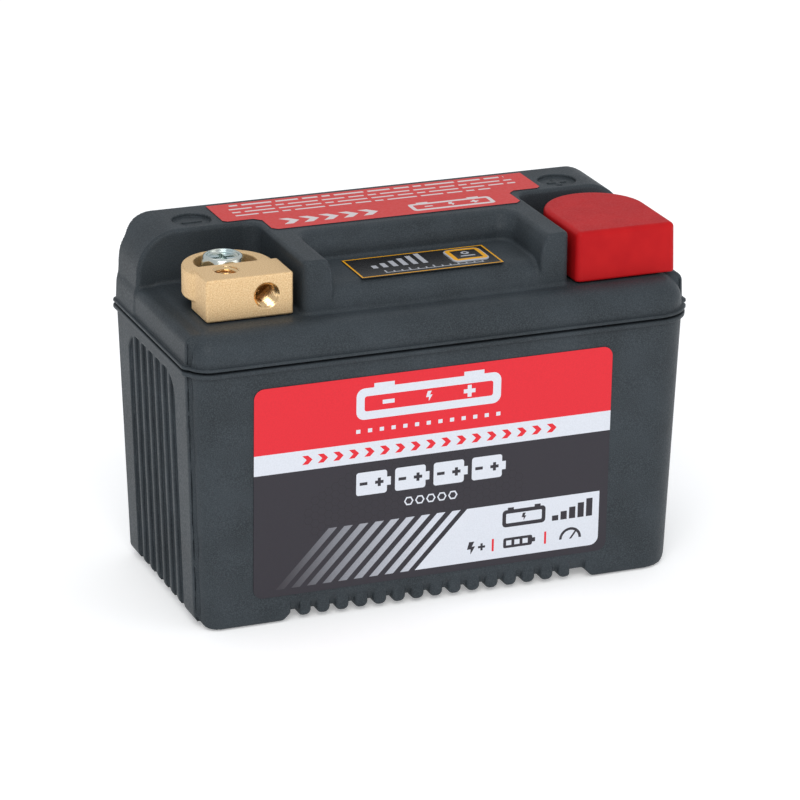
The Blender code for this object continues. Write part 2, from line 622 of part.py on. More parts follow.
def display():
    """Board, lamps, tact switch with its plunger, and the button pad with its pin."""
    y0, y1 = DISPLAY_Y[0] + 1.2, DISPLAY_Y[1] - 1.2
    board = block("display_board", (-24, y0, BOARD_Z[0]), (24, y1, BOARD_Z[1]), "board_green")
    y = (DISPLAY_Y[0] + DISPLAY_Y[1]) / 2
    for sign in (-1, 1):
        x = sign * BOARD_SCREW_X
        combine(board, rod(f"board_hole_{side(sign)}", 1.1, (x, y, 70), (x, y, 80), sides=16))
        name = f"display_screw_{'right' if sign > 0 else 'left'}"
        screw = rod(name, 1.9, (x, y, BOARD_Z[0] - 1.5), (x, y, BOARD_Z[0] - 0.1), "zinc_steel",
                    sides=16)
        combine(screw, rod(name + "_shank", 0.75, (x, y, BOARD_Z[0] - 1), (x, y, WELL_FLOOR_Z - 2),
                           sides=12), "UNION")
    for i, bar_x in enumerate(BAR_XS):
        block(f"display_lamp_{i + 1}", (bar_x - 0.8, BAR_Y - 1.2, BOARD_Z[1] + 0.05),
              (bar_x + 0.8, BAR_Y + 1.2, BOARD_Z[1] + 1.2), "led_red")
    bx, by = BUTTON_XY
    switch = block("tact_switch", (bx - 3, by - 3, BOARD_Z[1] + 0.05), (bx + 3, by + 3, 79.5),
                   "chip_black")
    combine(switch, rod("tact_hole", 1.95, (bx, by, 78.0), (bx, by, 90), sides=20))
    rod("tact_plunger", 1.6, (bx, by, 78.6), (bx, by, 80.5), "chip_black", sides=20)
    wide, deep = (s / 2 for s in BUTTON_SIZE)
    low = WELL_FLOOR_Z + LABEL_GAP
    pad = block("test_button", (bx - wide, by - deep, low), (bx + wide, by + deep, low + 0.65),
                "label_black", rounds=[("upright", 1.4, 3)])
    combine(pad, rod("test_button_pin", 1.7, (bx, by, 80.8), (bx, by, low + 0.3), sides=20), "UNION")


# ---------------------------------------------------------------- cells and wiring

def cell(number, x):
    """A cylindrical cell with a crimped shoulder and a raised end button."""
    tall = CELL_Z[1] - CELL_Z[0]
    profile = [(0, tall), (4.0, tall), (4.0, tall - 1.0), (10.8, tall - 1.0), (12.9, tall - 1.6),
               (13.1, tall - 2.2), (13.1, tall - 5.0), (12.5, tall - 5.5), (13.1, tall - 6.0),
               (13.1, 0.6), (12.6, 0), (0, 0)]
    turned(f"cell_{number}", profile, (x, CELL_Y, CELL_Z[0]), "cell_sleeve", steps=20)


def holder(name, z0, z1):
    plate = block(name, (-55.5, -1.4, z0), (55.5, 28.0, z1), "holder_plastic",
                  rounds=[("upright", 3, 3)])
    for i, x in enumerate(CELL_XS):
        combine(plate, rod(f"{name}_hole_{i + 1}", CELL_R + GAP, (x, CELL_Y, z0 - 2),
                           (x, CELL_Y, z1 + 2), sides=28))
    return plate


def links():
    """Nickel strips: an end tab on each outer cell, and links that put the cells in series."""
    top, low = CELL_Z[1] + 0.1, CELL_Z[0] - 0.1
    for sign, x in ((-1, CELL_XS[0]), (1, CELL_XS[3])):
        block(f"{side(sign)}_tab", (x - 3 - sign, -1.0, top),
              (x + 3 - sign, CELL_Y + 6, top + TAB_THICK), "nickel")
    block("series_link_top", (CELL_XS[1] - 5, CELL_Y - 5, top),
          (CELL_XS[2] + 5, CELL_Y + 5, top + TAB_THICK), "nickel")
    for name, a, b in (("series_link_left", 0, 1), ("series_link_right", 2, 3)):
        block(name, (CELL_XS[a] - 5, CELL_Y - 5, low - TAB_THICK),
              (CELL_XS[b] + 5, CELL_Y + 5, low), "nickel")


def foam():
    block("foam_base", (-54, -1.0, FLOOR_Z + 0.1), (54, 27.5, CELL_Z[0] - 0.1 - TAB_THICK - 0.1),
          "foam_grey")
    block("foam_block", (-28, -16.0, FLOOR_Z + 0.4), (28, -3.6, 47.0), "foam_grey",
          rounds=[("all", 1.5, 2)])


def balance_board():
    """The monitoring board stands behind the front wall, parts facing the cells."""
    block("balance_board", (-30, -25.6, 12), (30, -24.0, 52), "board_green")
    for i in range(3):
        x = -20 + 14 * i
        block(f"power_switch_{i + 1}", (x - 3.3, -23.9, 22), (x + 3.3, -21.6, 32), "chip_black")
    block("balance_chip", (-14, -23.9, 38), (-6, -22.4, 46), "chip_black")
    block("balance_socket", (6, -23.9, 40), (20, -19.4, 46), "connector_white")


def power_lead(sign):
    x, look = sign * TERMINAL_X, ("wire_red" if sign > 0 else "wire_black")
    s = sign
    wire(f"{side(sign)}_lead", [(x, SCREW_Y - 12.8, 69.6), (x, -20.5, 69.0), (x - s * 1.5, -23.4, 65.0),
                                (x - s * 5.0, -22.0, 60.5), (x - s * 8.5, -15.0, 60.5),
                                (x - s * 8.9, -8.0, 64.0), (x - s * 8.6, -5.0, 69.0),
                                (x - s * 8.4, -3.2, 72.0)], 2.0, look, steps=28)


def sense_leads():
    """Five thin leads from the balance socket to the cell strips, and one up to the display."""
    starts = [8.0 + 2.5 * i for i in range(5)]
    top, base = CELL_Z[1] + 0.4, CELL_Z[0] + 0.7
    out, rise = (-18.7, 43), (-17.6, 44.2)
    routes = [
        [(starts[0], *out), (starts[0], *rise), (4, -17.0, 54), (-20, -12, 55.5), (-35, -6, 62),
         (-36.8, -3, 70), (-37.2, -1.7, top - 0.2)],
        [(starts[1], *out), (starts[1], *rise), (8, -16.8, 51.8), (-2, -9, 52.4), (-33, -9, 49),
         (-33.8, -5, 30), (-29.4, -2.4, 14), (-27.3, -1.4, 9.7), (-27, 4.0, 9.2), (-27, 8.6, base)],
        [(starts[2], *out), (starts[2], *rise), (13, -17.0, 54), (6, -9, 60), (1, -2.5, 68),
         (0.0, 2.0, 73.6), (0.0, 7.8, top + 0.25)],
        [(starts[3], *out), (starts[3], *rise), (18, -16.8, 51.8), (22, -9, 52.4), (32.8, -9, 49),
         (33.8, -5, 30), (29.4, -2.4, 14), (27.3, -1.4, 9.7), (27, 4.0, 9.2), (27, 8.6, base)],
        [(starts[4], *out), (starts[4], *rise), (21, -17.0, 53), (30, -12, 55.5), (35, -6, 62),
         (36.8, -3, 70), (37.2, -1.7, top - 0.2)],
    ]
    for i, route in enumerate(routes):
        wire(f"sense_lead_{i + 1}", route, 0.6, "wire_red" if i == 4 else "wire_black", steps=20)
    wire("display_lead", [(-6, -23.2, 52.6), (-6, -22.6, 58), (-5, -19.0, 64), (-4, -15.5, 70),
                          (-4, -14.5, 74.2)], 0.9, "wire_black", steps=12)


# ---------------------------------------------------------------- whole battery

def build():
    clear_scene()
    tub()
    lid()
    front_label()
    top_label()
    display_label()
    for sign in (-1, 1):
        terminal(sign)
        terminal_fastening(sign)
        power_lead(sign)
    terminal_cap()
    display()
    for i, x in enumerate(CELL_XS):
        cell(i + 1, x)
    for name, (z0, z1) in HOLDERS.items():
        holder(name, z0, z1)
    links()
    foam()
    balance_board()
    sense_leads()


build()
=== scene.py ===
"""Looks for the motorcycle battery: moulded case, cast brass, red cap and printed labels.

Every moulded or cast piece is written as a distance field in millimetres, negative inside the
piece, put together from rounded cuts and joins, and surface() turns it into a mesh. A label is a
flat sheet whose printed areas are faces of the sheet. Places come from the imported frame.
"""
import json
import math

import bmesh
import bpy
import numpy as np
from mathutils import Matrix, Vector
from mathutils.geometry import delaunay_2d_cdt


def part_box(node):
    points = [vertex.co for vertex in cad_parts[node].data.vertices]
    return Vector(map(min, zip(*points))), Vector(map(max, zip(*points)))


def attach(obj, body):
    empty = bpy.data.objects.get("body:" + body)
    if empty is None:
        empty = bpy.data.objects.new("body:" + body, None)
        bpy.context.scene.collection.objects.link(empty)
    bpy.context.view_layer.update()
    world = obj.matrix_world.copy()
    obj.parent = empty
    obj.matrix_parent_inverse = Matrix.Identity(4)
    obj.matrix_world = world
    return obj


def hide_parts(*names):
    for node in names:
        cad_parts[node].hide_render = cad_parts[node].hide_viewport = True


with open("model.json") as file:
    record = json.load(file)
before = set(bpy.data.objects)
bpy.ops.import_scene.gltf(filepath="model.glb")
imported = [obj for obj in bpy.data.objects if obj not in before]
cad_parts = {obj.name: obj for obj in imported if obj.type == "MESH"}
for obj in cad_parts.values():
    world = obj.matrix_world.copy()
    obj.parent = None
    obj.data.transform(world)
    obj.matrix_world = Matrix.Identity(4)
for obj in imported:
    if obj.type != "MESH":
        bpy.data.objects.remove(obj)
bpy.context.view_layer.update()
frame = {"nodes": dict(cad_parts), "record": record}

MM = 0.001


def box_mm(node):
    """A node's lowest and highest corner in millimetres."""
    low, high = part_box(node)
    return Vector(low) / MM, Vector(high) / MM


# ---------------------------------------------------------------- sizes, in millimetres

TUB_HIGH = box_mm("case_tub")[1]
LID_LOW, LID_HIGH = box_mm("case_lid")
SEAM = 0.3                             # half of the gap between the tub's and the lid's rims
RIM_Z = LID_LOW.z - SEAM
RIM_PROUD = 0.85
TUB_RIM_HIGH = 1.1
LID_RIM_HIGH = 0.8
PLATEAU_Z = LID_HIGH.z
WALL = 2.1
FLOOR_Z = 5.8
TONGUE_IN = 1.1                        # the tub's tongue reaches up into the lid
TONGUE_Z = (50.0, RIM_Z + 2.1)

# A pair that goes to by_end() is for the case's two ends, -X first
PANEL_PROUD = (0.9, 1.45)              # the end panels stand proud of the body
PANEL_FRONT_Y = (-27.8, -22.8)
PANEL_REAR_Y = 27.2
PANEL_R = 1.5
CREASE_R = 0.45                        # the groove where an end panel meets the body
CORNER_R = (5.0, 9.3)                  # at the front
REAR_CORNER_R = 9.0
INNER_R = 10.0
PANEL_X = TUB_HIGH.x - RIM_PROUD
BODY_X = PANEL_X - 1.45
BODY_Y = TUB_HIGH.y - RIM_PROUD
DRAFT_X = 2.2
DRAFT_Y = 1.4
FOOT_R = (3.2, 5.6)

GROOVE_PITCH = 5.35
GROOVE_WIDE = 3.5
GROOVE_DEEP = 2.4
GROOVE_TOP = 62.4
GROOVE_FIELD_Y = 17.9
BASE_RIBS = 15
BASE_RIB_PITCH = 4.95
BASE_RIB_SHIFT = -2.4
BASE_RIB_WIDE = 3.5
BASE_RIB_Z = 0.8
BASE_RAISE = 2.1
NOTCH_X = (40.7, 37.7)
NOTCH_TOP = 5.3
NOTCH_DEEP = 1.8
NOTCH_SLOPE = 0.55                     # the wall curves in above the ribs' gaps

SHELF_Z = 75.5                         # floor of the terminal pockets
SHOULDER_R = 6.0
CROWN_END_X = 64.6
CROWN_END_SLOPE = 0.071
CROWN_END_R = 10.0
CROWN_REAR_R = 3.0
ROOF = 2.2                             # thickness over the rooms inside the lid
HOLLOW_R = 3.0
SEAT_OUT = 1.3                         # the lid's seat for the tongue
SEAT_TOP_Z = RIM_Z + 2.4
PLATEAU_ROOM_X = 62.0
PLATEAU_ROOM_R = 9.0
CENTRE_ROOM_Y = (2.0, 18.0)
GAUGE_ROOM_Y = (-19.6, 17.0)
POCKET_X = 34.6
POCKET_BACK_Y = 11.5
POCKET_R = 4.0
BLOCK_FRONT_Y = -23.0
WELL_X = 27.0
WELL_BACK_Y = -2.7
WELL_R = 4.0
WELL_Z = 82.0
WELL_CREASE_Z = 85.2
WELL_FRONT_Y = -20.6
WELL_NOSE_Z = 77.5
LIP_SIDE_SLOPE = 0.42
LIP_REAR_SLOPE = 0.76
MARK_X, MARK_Y, MARK_R, MARK_DEEP = 49.0, 18.3, 4.85, 0.8
MARK_RAISE = 0.35                      # the sign stands up from the mark's floor
MARK_BAR = (2.6, 0.6)                  # half length and half width of a bar of the sign

TERMINAL_LOW, TERMINAL_HIGH = box_mm("positive_terminal")
RING_R = 11.2
RING_Y = TERMINAL_HIGH.y - RING_R
TERMINAL_X = 48.7
BLOCK_SHIFT = 1.0                      # both castings lie the same way round
BLOCK_HALF_X = 11.0
BLOCK_REAR_Y = -9.7
BLOCK_FRONT = TERMINAL_LOW.y
RING_Z = (78.4, TERMINAL_HIGH.z - 0.6)
RING_FLOOR_Z = 81.5
BORE_R = 7.7
BORE_Y = -6.2
TAP_MINOR_R = 2.5
TAP_DEPTH = 0.62
TAP_PITCH = 1.0
TAP_DEEP = 8.6
TAP_MOUTH_R = 3.3
TAP_TOP = (-2.6, -14.2)                # X from the ring's centre, and Y
TAP_FRONT = (5.2, 81.2)                # X from the ring's centre, and Z
SKIN = 0.05                            # a face this far under the surface is a machined one
SCREW_HOLE_R = 3.3
BOSS_R = 6.2
BOSS_LOW_Z = 70.5
COLLAR_R = 5.0
INSERT_R = 4.1

SCREW_LOW, SCREW_HIGH = box_mm("positive_screw")
SCREW_Y = (SCREW_LOW.y + SCREW_HIGH.y) / 2
SCREW_TOP = SCREW_HIGH.z
SCREW_FLATS = 9.8
SCREW_HEAD_Z = SCREW_LOW.z + 11.9
DISH_R, DISH_DEEP = 3.9, 0.75
CROSS_HALF = (0.62, 2.9)
CROSS_DEEP = 2.2
THREAD_R, THREAD_DEEP = 2.95, 0.45
WASHER_R = (3.25, 5.35)
WASHER_SPRING = 0.08                   # half of the lift between its two ends
CAP_LOW, CAP_HIGH = box_mm("terminal_cap")
CAP_WALL = 0.9
CAP_DRAFT = 0.022
CAP_FRONT_WALL = 1.7
CAP_ROOF = 1.3
BUTTON_LOW, BUTTON_HIGH = box_mm("test_button")
BUTTON_MIDDLE = (BUTTON_LOW + BUTTON_HIGH) / 2
BUTTON_HALF = (BUTTON_HIGH - BUTTON_LOW) / 2
BUTTON_R = 1.6
BUTTON_CROWN = 0.0035                  # how much lower it is for each mm squared from its middle
PIN_R = 1.7
DISPLAY_LOW, DISPLAY_HIGH = box_mm("display_label")
FRONT_LOW, FRONT_HIGH = box_mm("front_label")
TOP_LOW, TOP_HIGH = box_mm("top_label")

DETAIL = 1.0    # multiplies every grid step


# ---------------------------------------------------------------- distance fields

def both(a, b, r=0.0):
    """Inside both shapes, with their common edge rounded to radius r."""
    if np.isscalar(r) and r == 0:
        return np.maximum(a, b)
    return np.minimum(-r, np.maximum(a, b)) + np.hypot(np.maximum(r + a, 0), np.maximum(r + b, 0))


def either(a, b, r=0.0):
    """Inside either shape, with a fillet of radius r where they meet."""
    return -both(-a, -b, r)


def without(a, b, r=0.0):
    """Inside a and outside b, with the cut's edge rounded to radius r."""
    return both(a, -b, r)


def between(v, low, high):
    return np.abs(v - (low + high) / 2) - (high - low) / 2


def rounded_rect(x, y, half_x, half_y, r):
    qx, qy = np.abs(x) - half_x + r, np.abs(y) - half_y + r
    return np.minimum(np.maximum(qx, qy), 0) + np.hypot(np.maximum(qx, 0), np.maximum(qy, 0)) - r


def repeated(v, pitch):
    """Distance from the nearest multiple of the pitch."""
    return np.abs(v - pitch * np.round(v / pitch))


# ---------------------------------------------------------------- fields to meshes

CORNERS = [(i, j, k) for i in (0, 1) for j in (0, 1) for k in (0, 1)]
CELL_EDGES = [(a, b) for a in range(8) for b in range(a + 1, 8)
              if sum(p != q for p, q in zip(CORNERS[a], CORNERS[b])) == 1]


def spaced(*stops):
    """Grid positions from (start, step) pairs and a last position."""
    ends = [s[0] for s in stops[1:-1]] + [stops[-1]]
    parts = [np.linspace(start, end, max(2, round((end - start) / (step * DETAIL))), endpoint=False)
             for (start, step), end in zip(stops[:-1], ends)]
    return np.concatenate([*parts, [ends[-1]]])


def gradient(field, points, reach=0.01):
    slopes = []
    for axis in range(3):
        ahead, behind = points.copy(), points.copy()
        ahead[:, axis] += reach
        behind[:, axis] -= reach
        slopes.append((field(*ahead.T) - field(*behind.T)) / (2 * reach))
    return np.stack(slopes, axis=1)


def surface(field, xs, ys, zs, passes=3, most=0.25):
    """Points, quads and normals of a field's zero surface: surface nets, then steps onto it."""
    grid = (xs, ys, zs)
    values = field(xs[:, None, None].astype("f4"), ys[None, :, None].astype("f4"),
                   zs[None, None, :].astype("f4"))
    values = np.ascontiguousarray(np.broadcast_to(values, [len(g) for g in grid]))
    solid = values < 0
    count = np.zeros([len(g) - 1 for g in grid], np.int8)
    for i, j, k in CORNERS:
        count += solid[i:i + len(xs) - 1, j:j + len(ys) - 1, k:k + len(zs) - 1]
    cells = np.argwhere((count > 0) & (count < 8))
    index = np.full(count.shape, -1)
    index[tuple(cells.T)] = np.arange(len(cells))
    total, hits = np.zeros((len(cells), 3)), np.zeros(len(cells))
    for a, b in CELL_EDGES:
        at_a, at_b = cells + CORNERS[a], cells + CORNERS[b]
        value_a, value_b = values[tuple(at_a.T)], values[tuple(at_b.T)]
        crossed = (value_a < 0) != (value_b < 0)
        part = (value_a / np.where(crossed, value_a - value_b, 1))[crossed, None]
        place_a = np.stack([g[i] for g, i in zip(grid, at_a[crossed].T)], axis=1)
        place_b = np.stack([g[i] for g, i in zip(grid, at_b[crossed].T)], axis=1)
        total[crossed] += place_a + (place_b - place_a) * part
        hits[crossed] += 1
    points = total / hits[:, None]
    quads = []
    for axis in range(3):
        u, v = (axis + 1) % 3, (axis + 2) % 3
        low = np.take(solid, np.arange(solid.shape[axis] - 1), axis)
        high = np.take(solid, np.arange(1, solid.shape[axis]), axis)
        at = np.argwhere(low != high)
        ring = []
        for du, dv in ((1, 1), (0, 1), (0, 0), (1, 0)):
            cell = at.copy()
            cell[:, u] -= du
            cell[:, v] -= dv
            ring.append(index[tuple(cell.T)])
        quad = np.stack(ring, axis=1)
        inward = ~low[tuple(at.T)]
        quad[inward] = quad[inward][:, ::-1]
        quads.append(quad)
    for _ in range(passes):
        slope = gradient(field, points)
        size = np.maximum((slope ** 2).sum(axis=1), 0.05)
        move = (field(*points.T) / size)[:, None] * slope
        reach = np.linalg.norm(move, axis=1, keepdims=True)
        points -= move * np.minimum(1, most / np.maximum(reach, 1e-9))
    return points, np.concatenate(quads), gradient(field, points)


def mesh_object(name, points, quads, normals, materials, ink=None):
    """A smooth mesh from millimetre arrays. ink gives each face's material from its centre."""
    mesh = bpy.data.meshes.new(name)
    mesh.vertices.add(len(points))
    mesh.vertices.foreach_set("co", (points * MM).ravel())
    mesh.loops.add(quads.size)
    mesh.loops.foreach_set("vertex_index", quads.ravel())
    mesh.polygons.add(len(quads))
    mesh.polygons.foreach_set("loop_start", np.arange(0, quads.size, 4))
    if ink is not None:
        centres = points[quads].mean(axis=1)
        mesh.polygons.foreach_set("material_index", ink(*centres.T).astype(int))
    mesh.update(calc_edges=True)
    mesh.validate()
    mesh.shade_smooth()
    unit = normals / np.maximum(np.linalg.norm(normals, axis=1, keepdims=True), 1e-9)
    mesh.normals_split_custom_set_from_vertices(unit.tolist())
    for look in materials:
        mesh.materials.append(look)
    made = bpy.data.objects.new(name, mesh)
    bpy.context.scene.collection.objects.link(made)
    return made


def moulded(name, node, field, grid, materials, ink=None):
    """A piece shaped by a field, standing for one CAD node and riding on that node's body."""
    points, quads, normals = surface(field, *grid)
    made = mesh_object(name, points, quads, normals, materials, ink)
    stand_for(made, node)
    return made


def stand_for(made, node):
    body = next(b for b, nodes in frame["record"]["behaviour"]["bodies"].items() if node in nodes)
    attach(made, body)
    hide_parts(node)


# ---------------------------------------------------------------- case

def by_end(x, pair):
    """The value for the -X end or the one for the +X end."""
    return np.where(x > 0, pair[1], pair[0])


def half_sizes(x, z):
    """Half length and width of the body at a height, and half length of the end panels."""
    slope = np.abs(z - RIM_Z) / RIM_Z
    panel_x = PANEL_X - DRAFT_X * slope
    return panel_x - by_end(x, PANEL_PROUD), BODY_Y - DRAFT_Y * slope, panel_x


def outline(x, y, z, grow=0.0):
    """The body and the end panels, as separate upright fields that follow the draft."""
    half_x, half_y, panel_x = half_sizes(x, z)
    corner_r = np.where(y > 0, REAR_CORNER_R, by_end(x, CORNER_R))
    body = rounded_rect(x, y, half_x + grow, half_y + grow, corner_r + grow)
    front, rear = by_end(x, PANEL_FRONT_Y) + BODY_Y - half_y, PANEL_REAR_Y - BODY_Y + half_y
    panel = rounded_rect(x, y - (front + rear) / 2, panel_x + grow, (rear - front) / 2 + grow,
                         PANEL_R + grow / 2)
    return body, panel


def bead(x, y, z, low, high):
    """The rounded rim round the case on one side of the joint."""
    body, panel = outline(x, y, z, RIM_PROUD)
    return both(either(body, panel, 0.3), between(z, low, high), 0.28)


def tub_field(x, y, z):
    half_x, half_y, panel_x = half_sizes(x, z)
    body, panel = outline(x, y, z)
    foot_r = by_end(x, FOOT_R)
    foot = both(np.abs(x) - half_x, -z, foot_r)
    body = both(both(body, foot), -z, 0.9)
    panel = both(panel, both(np.abs(x) - panel_x, 0.3 - z, foot_r))
    groove = both(repeated(y, GROOVE_PITCH) - GROOVE_WIDE / 2, panel_x - GROOVE_DEEP - np.abs(x), 0.35)
    field = both(np.abs(y) - GROOVE_FIELD_Y, z - GROOVE_TOP, 6.5)
    shell = either(without(panel, both(groove, field, 0.3), 0.4), body, 0.12)
    shell = without(shell, np.hypot(body, panel) - CREASE_R, 0.15)
    shell = both(shell, z - (RIM_Z - SEAM - 0.05), 0.2)
    shell = either(shell, bead(x, y, z, RIM_Z - SEAM - TUB_RIM_HIGH, RIM_Z - SEAM), 0.15)
    tongue = both(rounded_rect(x, y, BODY_X - TONGUE_IN, BODY_Y - TONGUE_IN, INNER_R - TONGUE_IN),
                  between(z, *TONGUE_Z), 0.3)
    shell = either(shell, tongue)
    notch_x = by_end(x, NOTCH_X)
    notch = both(np.abs(x) - notch_x - (BASE_RAISE - z), z - BASE_RAISE, 0.4)
    inside = BODY_Y - DRAFT_Y - np.abs(y)
    ramp = (inside - (NOTCH_TOP - z) * NOTCH_SLOPE) / math.hypot(1, NOTCH_SLOPE)
    band = both(both(ramp, inside - NOTCH_DEEP, 0.4), np.abs(x) - notch_x, 0.3)
    shell = without(without(shell, notch, 0.5), band, 0.5)
    along = x - BASE_RIB_SHIFT
    rib = both(repeated(along, BASE_RIB_PITCH) - BASE_RIB_WIDE / 2, BASE_RIB_Z - z, 1.5)
    rib = both(rib, both(0.1 - inside, z - NOTCH_TOP - 0.6), 0.8)
    rib = both(rib, np.abs(along) - (BASE_RIBS - 0.5) / 2 * BASE_RIB_PITCH)
    shell = either(shell, rib, 0.25)
    cavity = both(rounded_rect(x, y, half_x - WALL, half_y - WALL, INNER_R - WALL), FLOOR_Z - z, 1.0)
    return without(shell, cavity, 0.2)


def polarity_mark(x, y, z):
    """A shallow disc with a raised minus on the left and a raised plus on the right."""
    across = np.abs(x) - MARK_X
    disc = np.hypot(across, y - MARK_Y) - MARK_R
    bar = rounded_rect(across, y - MARK_Y, *MARK_BAR, 0.3)
    stem = rounded_rect(across, y - MARK_Y, *MARK_BAR[::-1], 0.3)
    sign = np.where(x > 0, np.minimum(bar, stem), bar)
    sign = both(sign, z - PLATEAU_Z + MARK_DEEP - MARK_RAISE, 0.15)
    return without(both(disc, PLATEAU_Z - MARK_DEEP - z, 0.2), sign)


def display_well(x, y, z):
    """The space over the charge gauge: upright low walls, then a lip that leans outwards."""
    walls = both(np.abs(x) - WELL_X, y - WELL_BACK_Y, WELL_R)
    rise = z - WELL_CREASE_Z
    lip = both((np.abs(x) - WELL_X - LIP_SIDE_SLOPE * rise) / math.hypot(1, LIP_SIDE_SLOPE),
               (y - WELL_BACK_Y - LIP_REAR_SLOPE * rise) / math.hypot(1, LIP_REAR_SLOPE), WELL_R)
    run, drop = WELL_FRONT_Y - BLOCK_FRONT_Y, WELL_Z - WELL_NOSE_Z
    nose = ((WELL_FRONT_Y - y) * drop + (z - WELL_Z) * run) / math.hypot(run, drop)
    floor = both(z - WELL_Z, nose, 3.0)
    return both(either(walls, lip, 0.8), -floor, 0.9)


def lid_hollow(x, y, z):
    """The room under the lid: over the tub, under the plateau and under the gauge."""
    body = rounded_rect(x, y, BODY_X - WALL - 0.1, BODY_Y - WALL - 0.1, INNER_R - WALL)
    room = both(body, z - (SHELF_Z - ROOF), HOLLOW_R)
    seat = rounded_rect(x, y, BODY_X - WALL + SEAT_OUT, BODY_Y - WALL + SEAT_OUT, INNER_R - WALL + 1.2)
    room = either(room, both(seat, z - SEAT_TOP_Z))
    plateau = both(both(np.abs(x) - PLATEAU_ROOM_X, z - (PLATEAU_Z - ROOF), PLATEAU_ROOM_R),
                   between(y, POCKET_BACK_Y + ROOF, BODY_Y - WALL - 0.8), 1.0)
    across = np.abs(x) - (POCKET_X - ROOF)
    centre = both(both(across, z - (PLATEAU_Z - ROOF - 0.1)), between(y, *CENTRE_ROOM_Y), 1.0)
    gauge = both(both(across + 0.1, z - (WELL_Z - ROOF)), between(y, *GAUGE_ROOM_Y), 1.0)
    return either(either(room, plateau), either(centre, gauge))


def lid_bosses(x, y, z):
    """The tubes that hold the terminals' threaded inserts."""
    r = np.hypot(np.abs(x) - TERMINAL_X, y - SCREW_Y)
    thick = both(r - BOSS_R, between(z, BOSS_LOW_Z, SHELF_Z - 0.4))
    collar = both(r - COLLAR_R, between(z, SHELF_Z - 2.0, RING_Z[0] - 0.3), 0.3)
    return either(thick, collar), both(r - INSERT_R, between(z, 60.0, 82.0))


def button_openings(x, y, z):
    """The test button's shallow seat and the hole for its pin."""
    out, back = x - BUTTON_MIDDLE.x, y - BUTTON_MIDDLE.y
    seat = rounded_rect(out, back, BUTTON_HALF.x + 0.3, BUTTON_HALF.y + 0.3, 1.5)
    hole = both(np.hypot(out, back) - PIN_R - 0.5, between(z, 76.0, 84.0))
    return either(both(seat, WELL_Z - 0.7 - z), hole)


def lid_field(x, y, z):
    body, panel = outline(x, y, z)
    base = either(both(body, z - SHELF_Z, SHOULDER_R), both(panel, z - SHELF_Z + 0.5, 2.2), 0.15)
    plan = either(body, panel, 0.15)
    end = (np.abs(x) - CROWN_END_X - CROWN_END_SLOPE * (PLATEAU_Z - z)) / math.hypot(1, CROWN_END_SLOPE)
    crown = both(both(plan, z - PLATEAU_Z, CROWN_REAR_R), both(end, z - PLATEAU_Z, CROWN_END_R))
    centre = both(np.abs(x) - POCKET_X, BLOCK_FRONT_Y - y, 2.0)
    crown = both(crown, either(POCKET_BACK_Y - y, centre, POCKET_R), 1.1)
    crown = without(crown, display_well(x, y, z), 0.9)
    crown = without(crown, polarity_mark(x, y, z), 0.2)
    shell = either(crown, base, 1.0)
    crease = both(np.hypot(body, panel) - CREASE_R, z - SHELF_Z + 0.8)
    shell = without(shell, crease, 0.15)
    shell = both(shell, RIM_Z + SEAM + 0.05 - z, 0.15)
    shell = either(shell, bead(x, y, z, RIM_Z + SEAM, RIM_Z + SEAM + LID_RIM_HIGH), 0.12)
    bosses, bores = lid_bosses(x, y, z)
    shell = either(without(shell, lid_hollow(x, y, z)), bosses, 0.4)
    return without(without(shell, bores), button_openings(x, y, z), 0.15)


# ---------------------------------------------------------------- terminals

def tapped_hole(across, along, depth):
    """A threaded blind hole with a countersunk mouth. depth is measured into the metal."""
    r = np.hypot(across, along)
    turn = (depth / TAP_PITCH + np.arctan2(along, across) / (2 * math.pi)) % 1.0
    ridge = TAP_DEPTH * (1 - np.abs(2 * turn - 1))
    hole = both((r - TAP_MINOR_R - ridge) * 0.75, depth - TAP_DEEP, 0.2)
    mouth = (r + depth - TAP_MOUTH_R) * math.sqrt(0.5)
    return np.minimum(hole, mouth)


def terminal_field(sign):
    def field(x, y, z):
        out = x - sign * TERMINAL_X
        middle = np.abs(out - BLOCK_SHIFT) - BLOCK_HALF_X
        block = both(both(middle, between(y, BLOCK_FRONT, BLOCK_REAR_Y), 0.6),
                     between(z, TERMINAL_LOW.z, TERMINAL_HIGH.z), 0.5)
        ring = both(np.hypot(out, y - RING_Y) - RING_R, between(z, *RING_Z), 0.6)
        solid = either(block, ring, 0.3)
        bore = both(np.hypot(out, y - BORE_Y) - BORE_R, BLOCK_REAR_Y - y, 0.5)
        solid = without(solid, both(bore, RING_FLOOR_Z - z, 0.6), 0.35)
        solid = without(solid, np.hypot(out, y - SCREW_Y) - SCREW_HOLE_R)
        top = tapped_hole(out - TAP_TOP[0], y - TAP_TOP[1], TERMINAL_HIGH.z - z)
        front = tapped_hole(out - TAP_FRONT[0], z - TAP_FRONT[1], y - BLOCK_FRONT)
        return without(without(solid, top), front)
    return field


def cut_metal(sign):
    """1 on the machined faces inside the tapped holes, 0 on the cast skin."""
    def ink(x, y, z):
        out = x - sign * TERMINAL_X
        top = np.hypot(out - TAP_TOP[0], y - TAP_TOP[1]) < TAP_MOUTH_R
        front = np.hypot(out - TAP_FRONT[0], z - TAP_FRONT[1]) < TAP_MOUTH_R
        inside = (z > TERMINAL_LOW.z + 0.5) & (y < BLOCK_REAR_Y - 0.3)
        return ((top & (z < TERMINAL_HIGH.z - SKIN)) | (front & (y > BLOCK_FRONT + SKIN))) & inside
    return ink


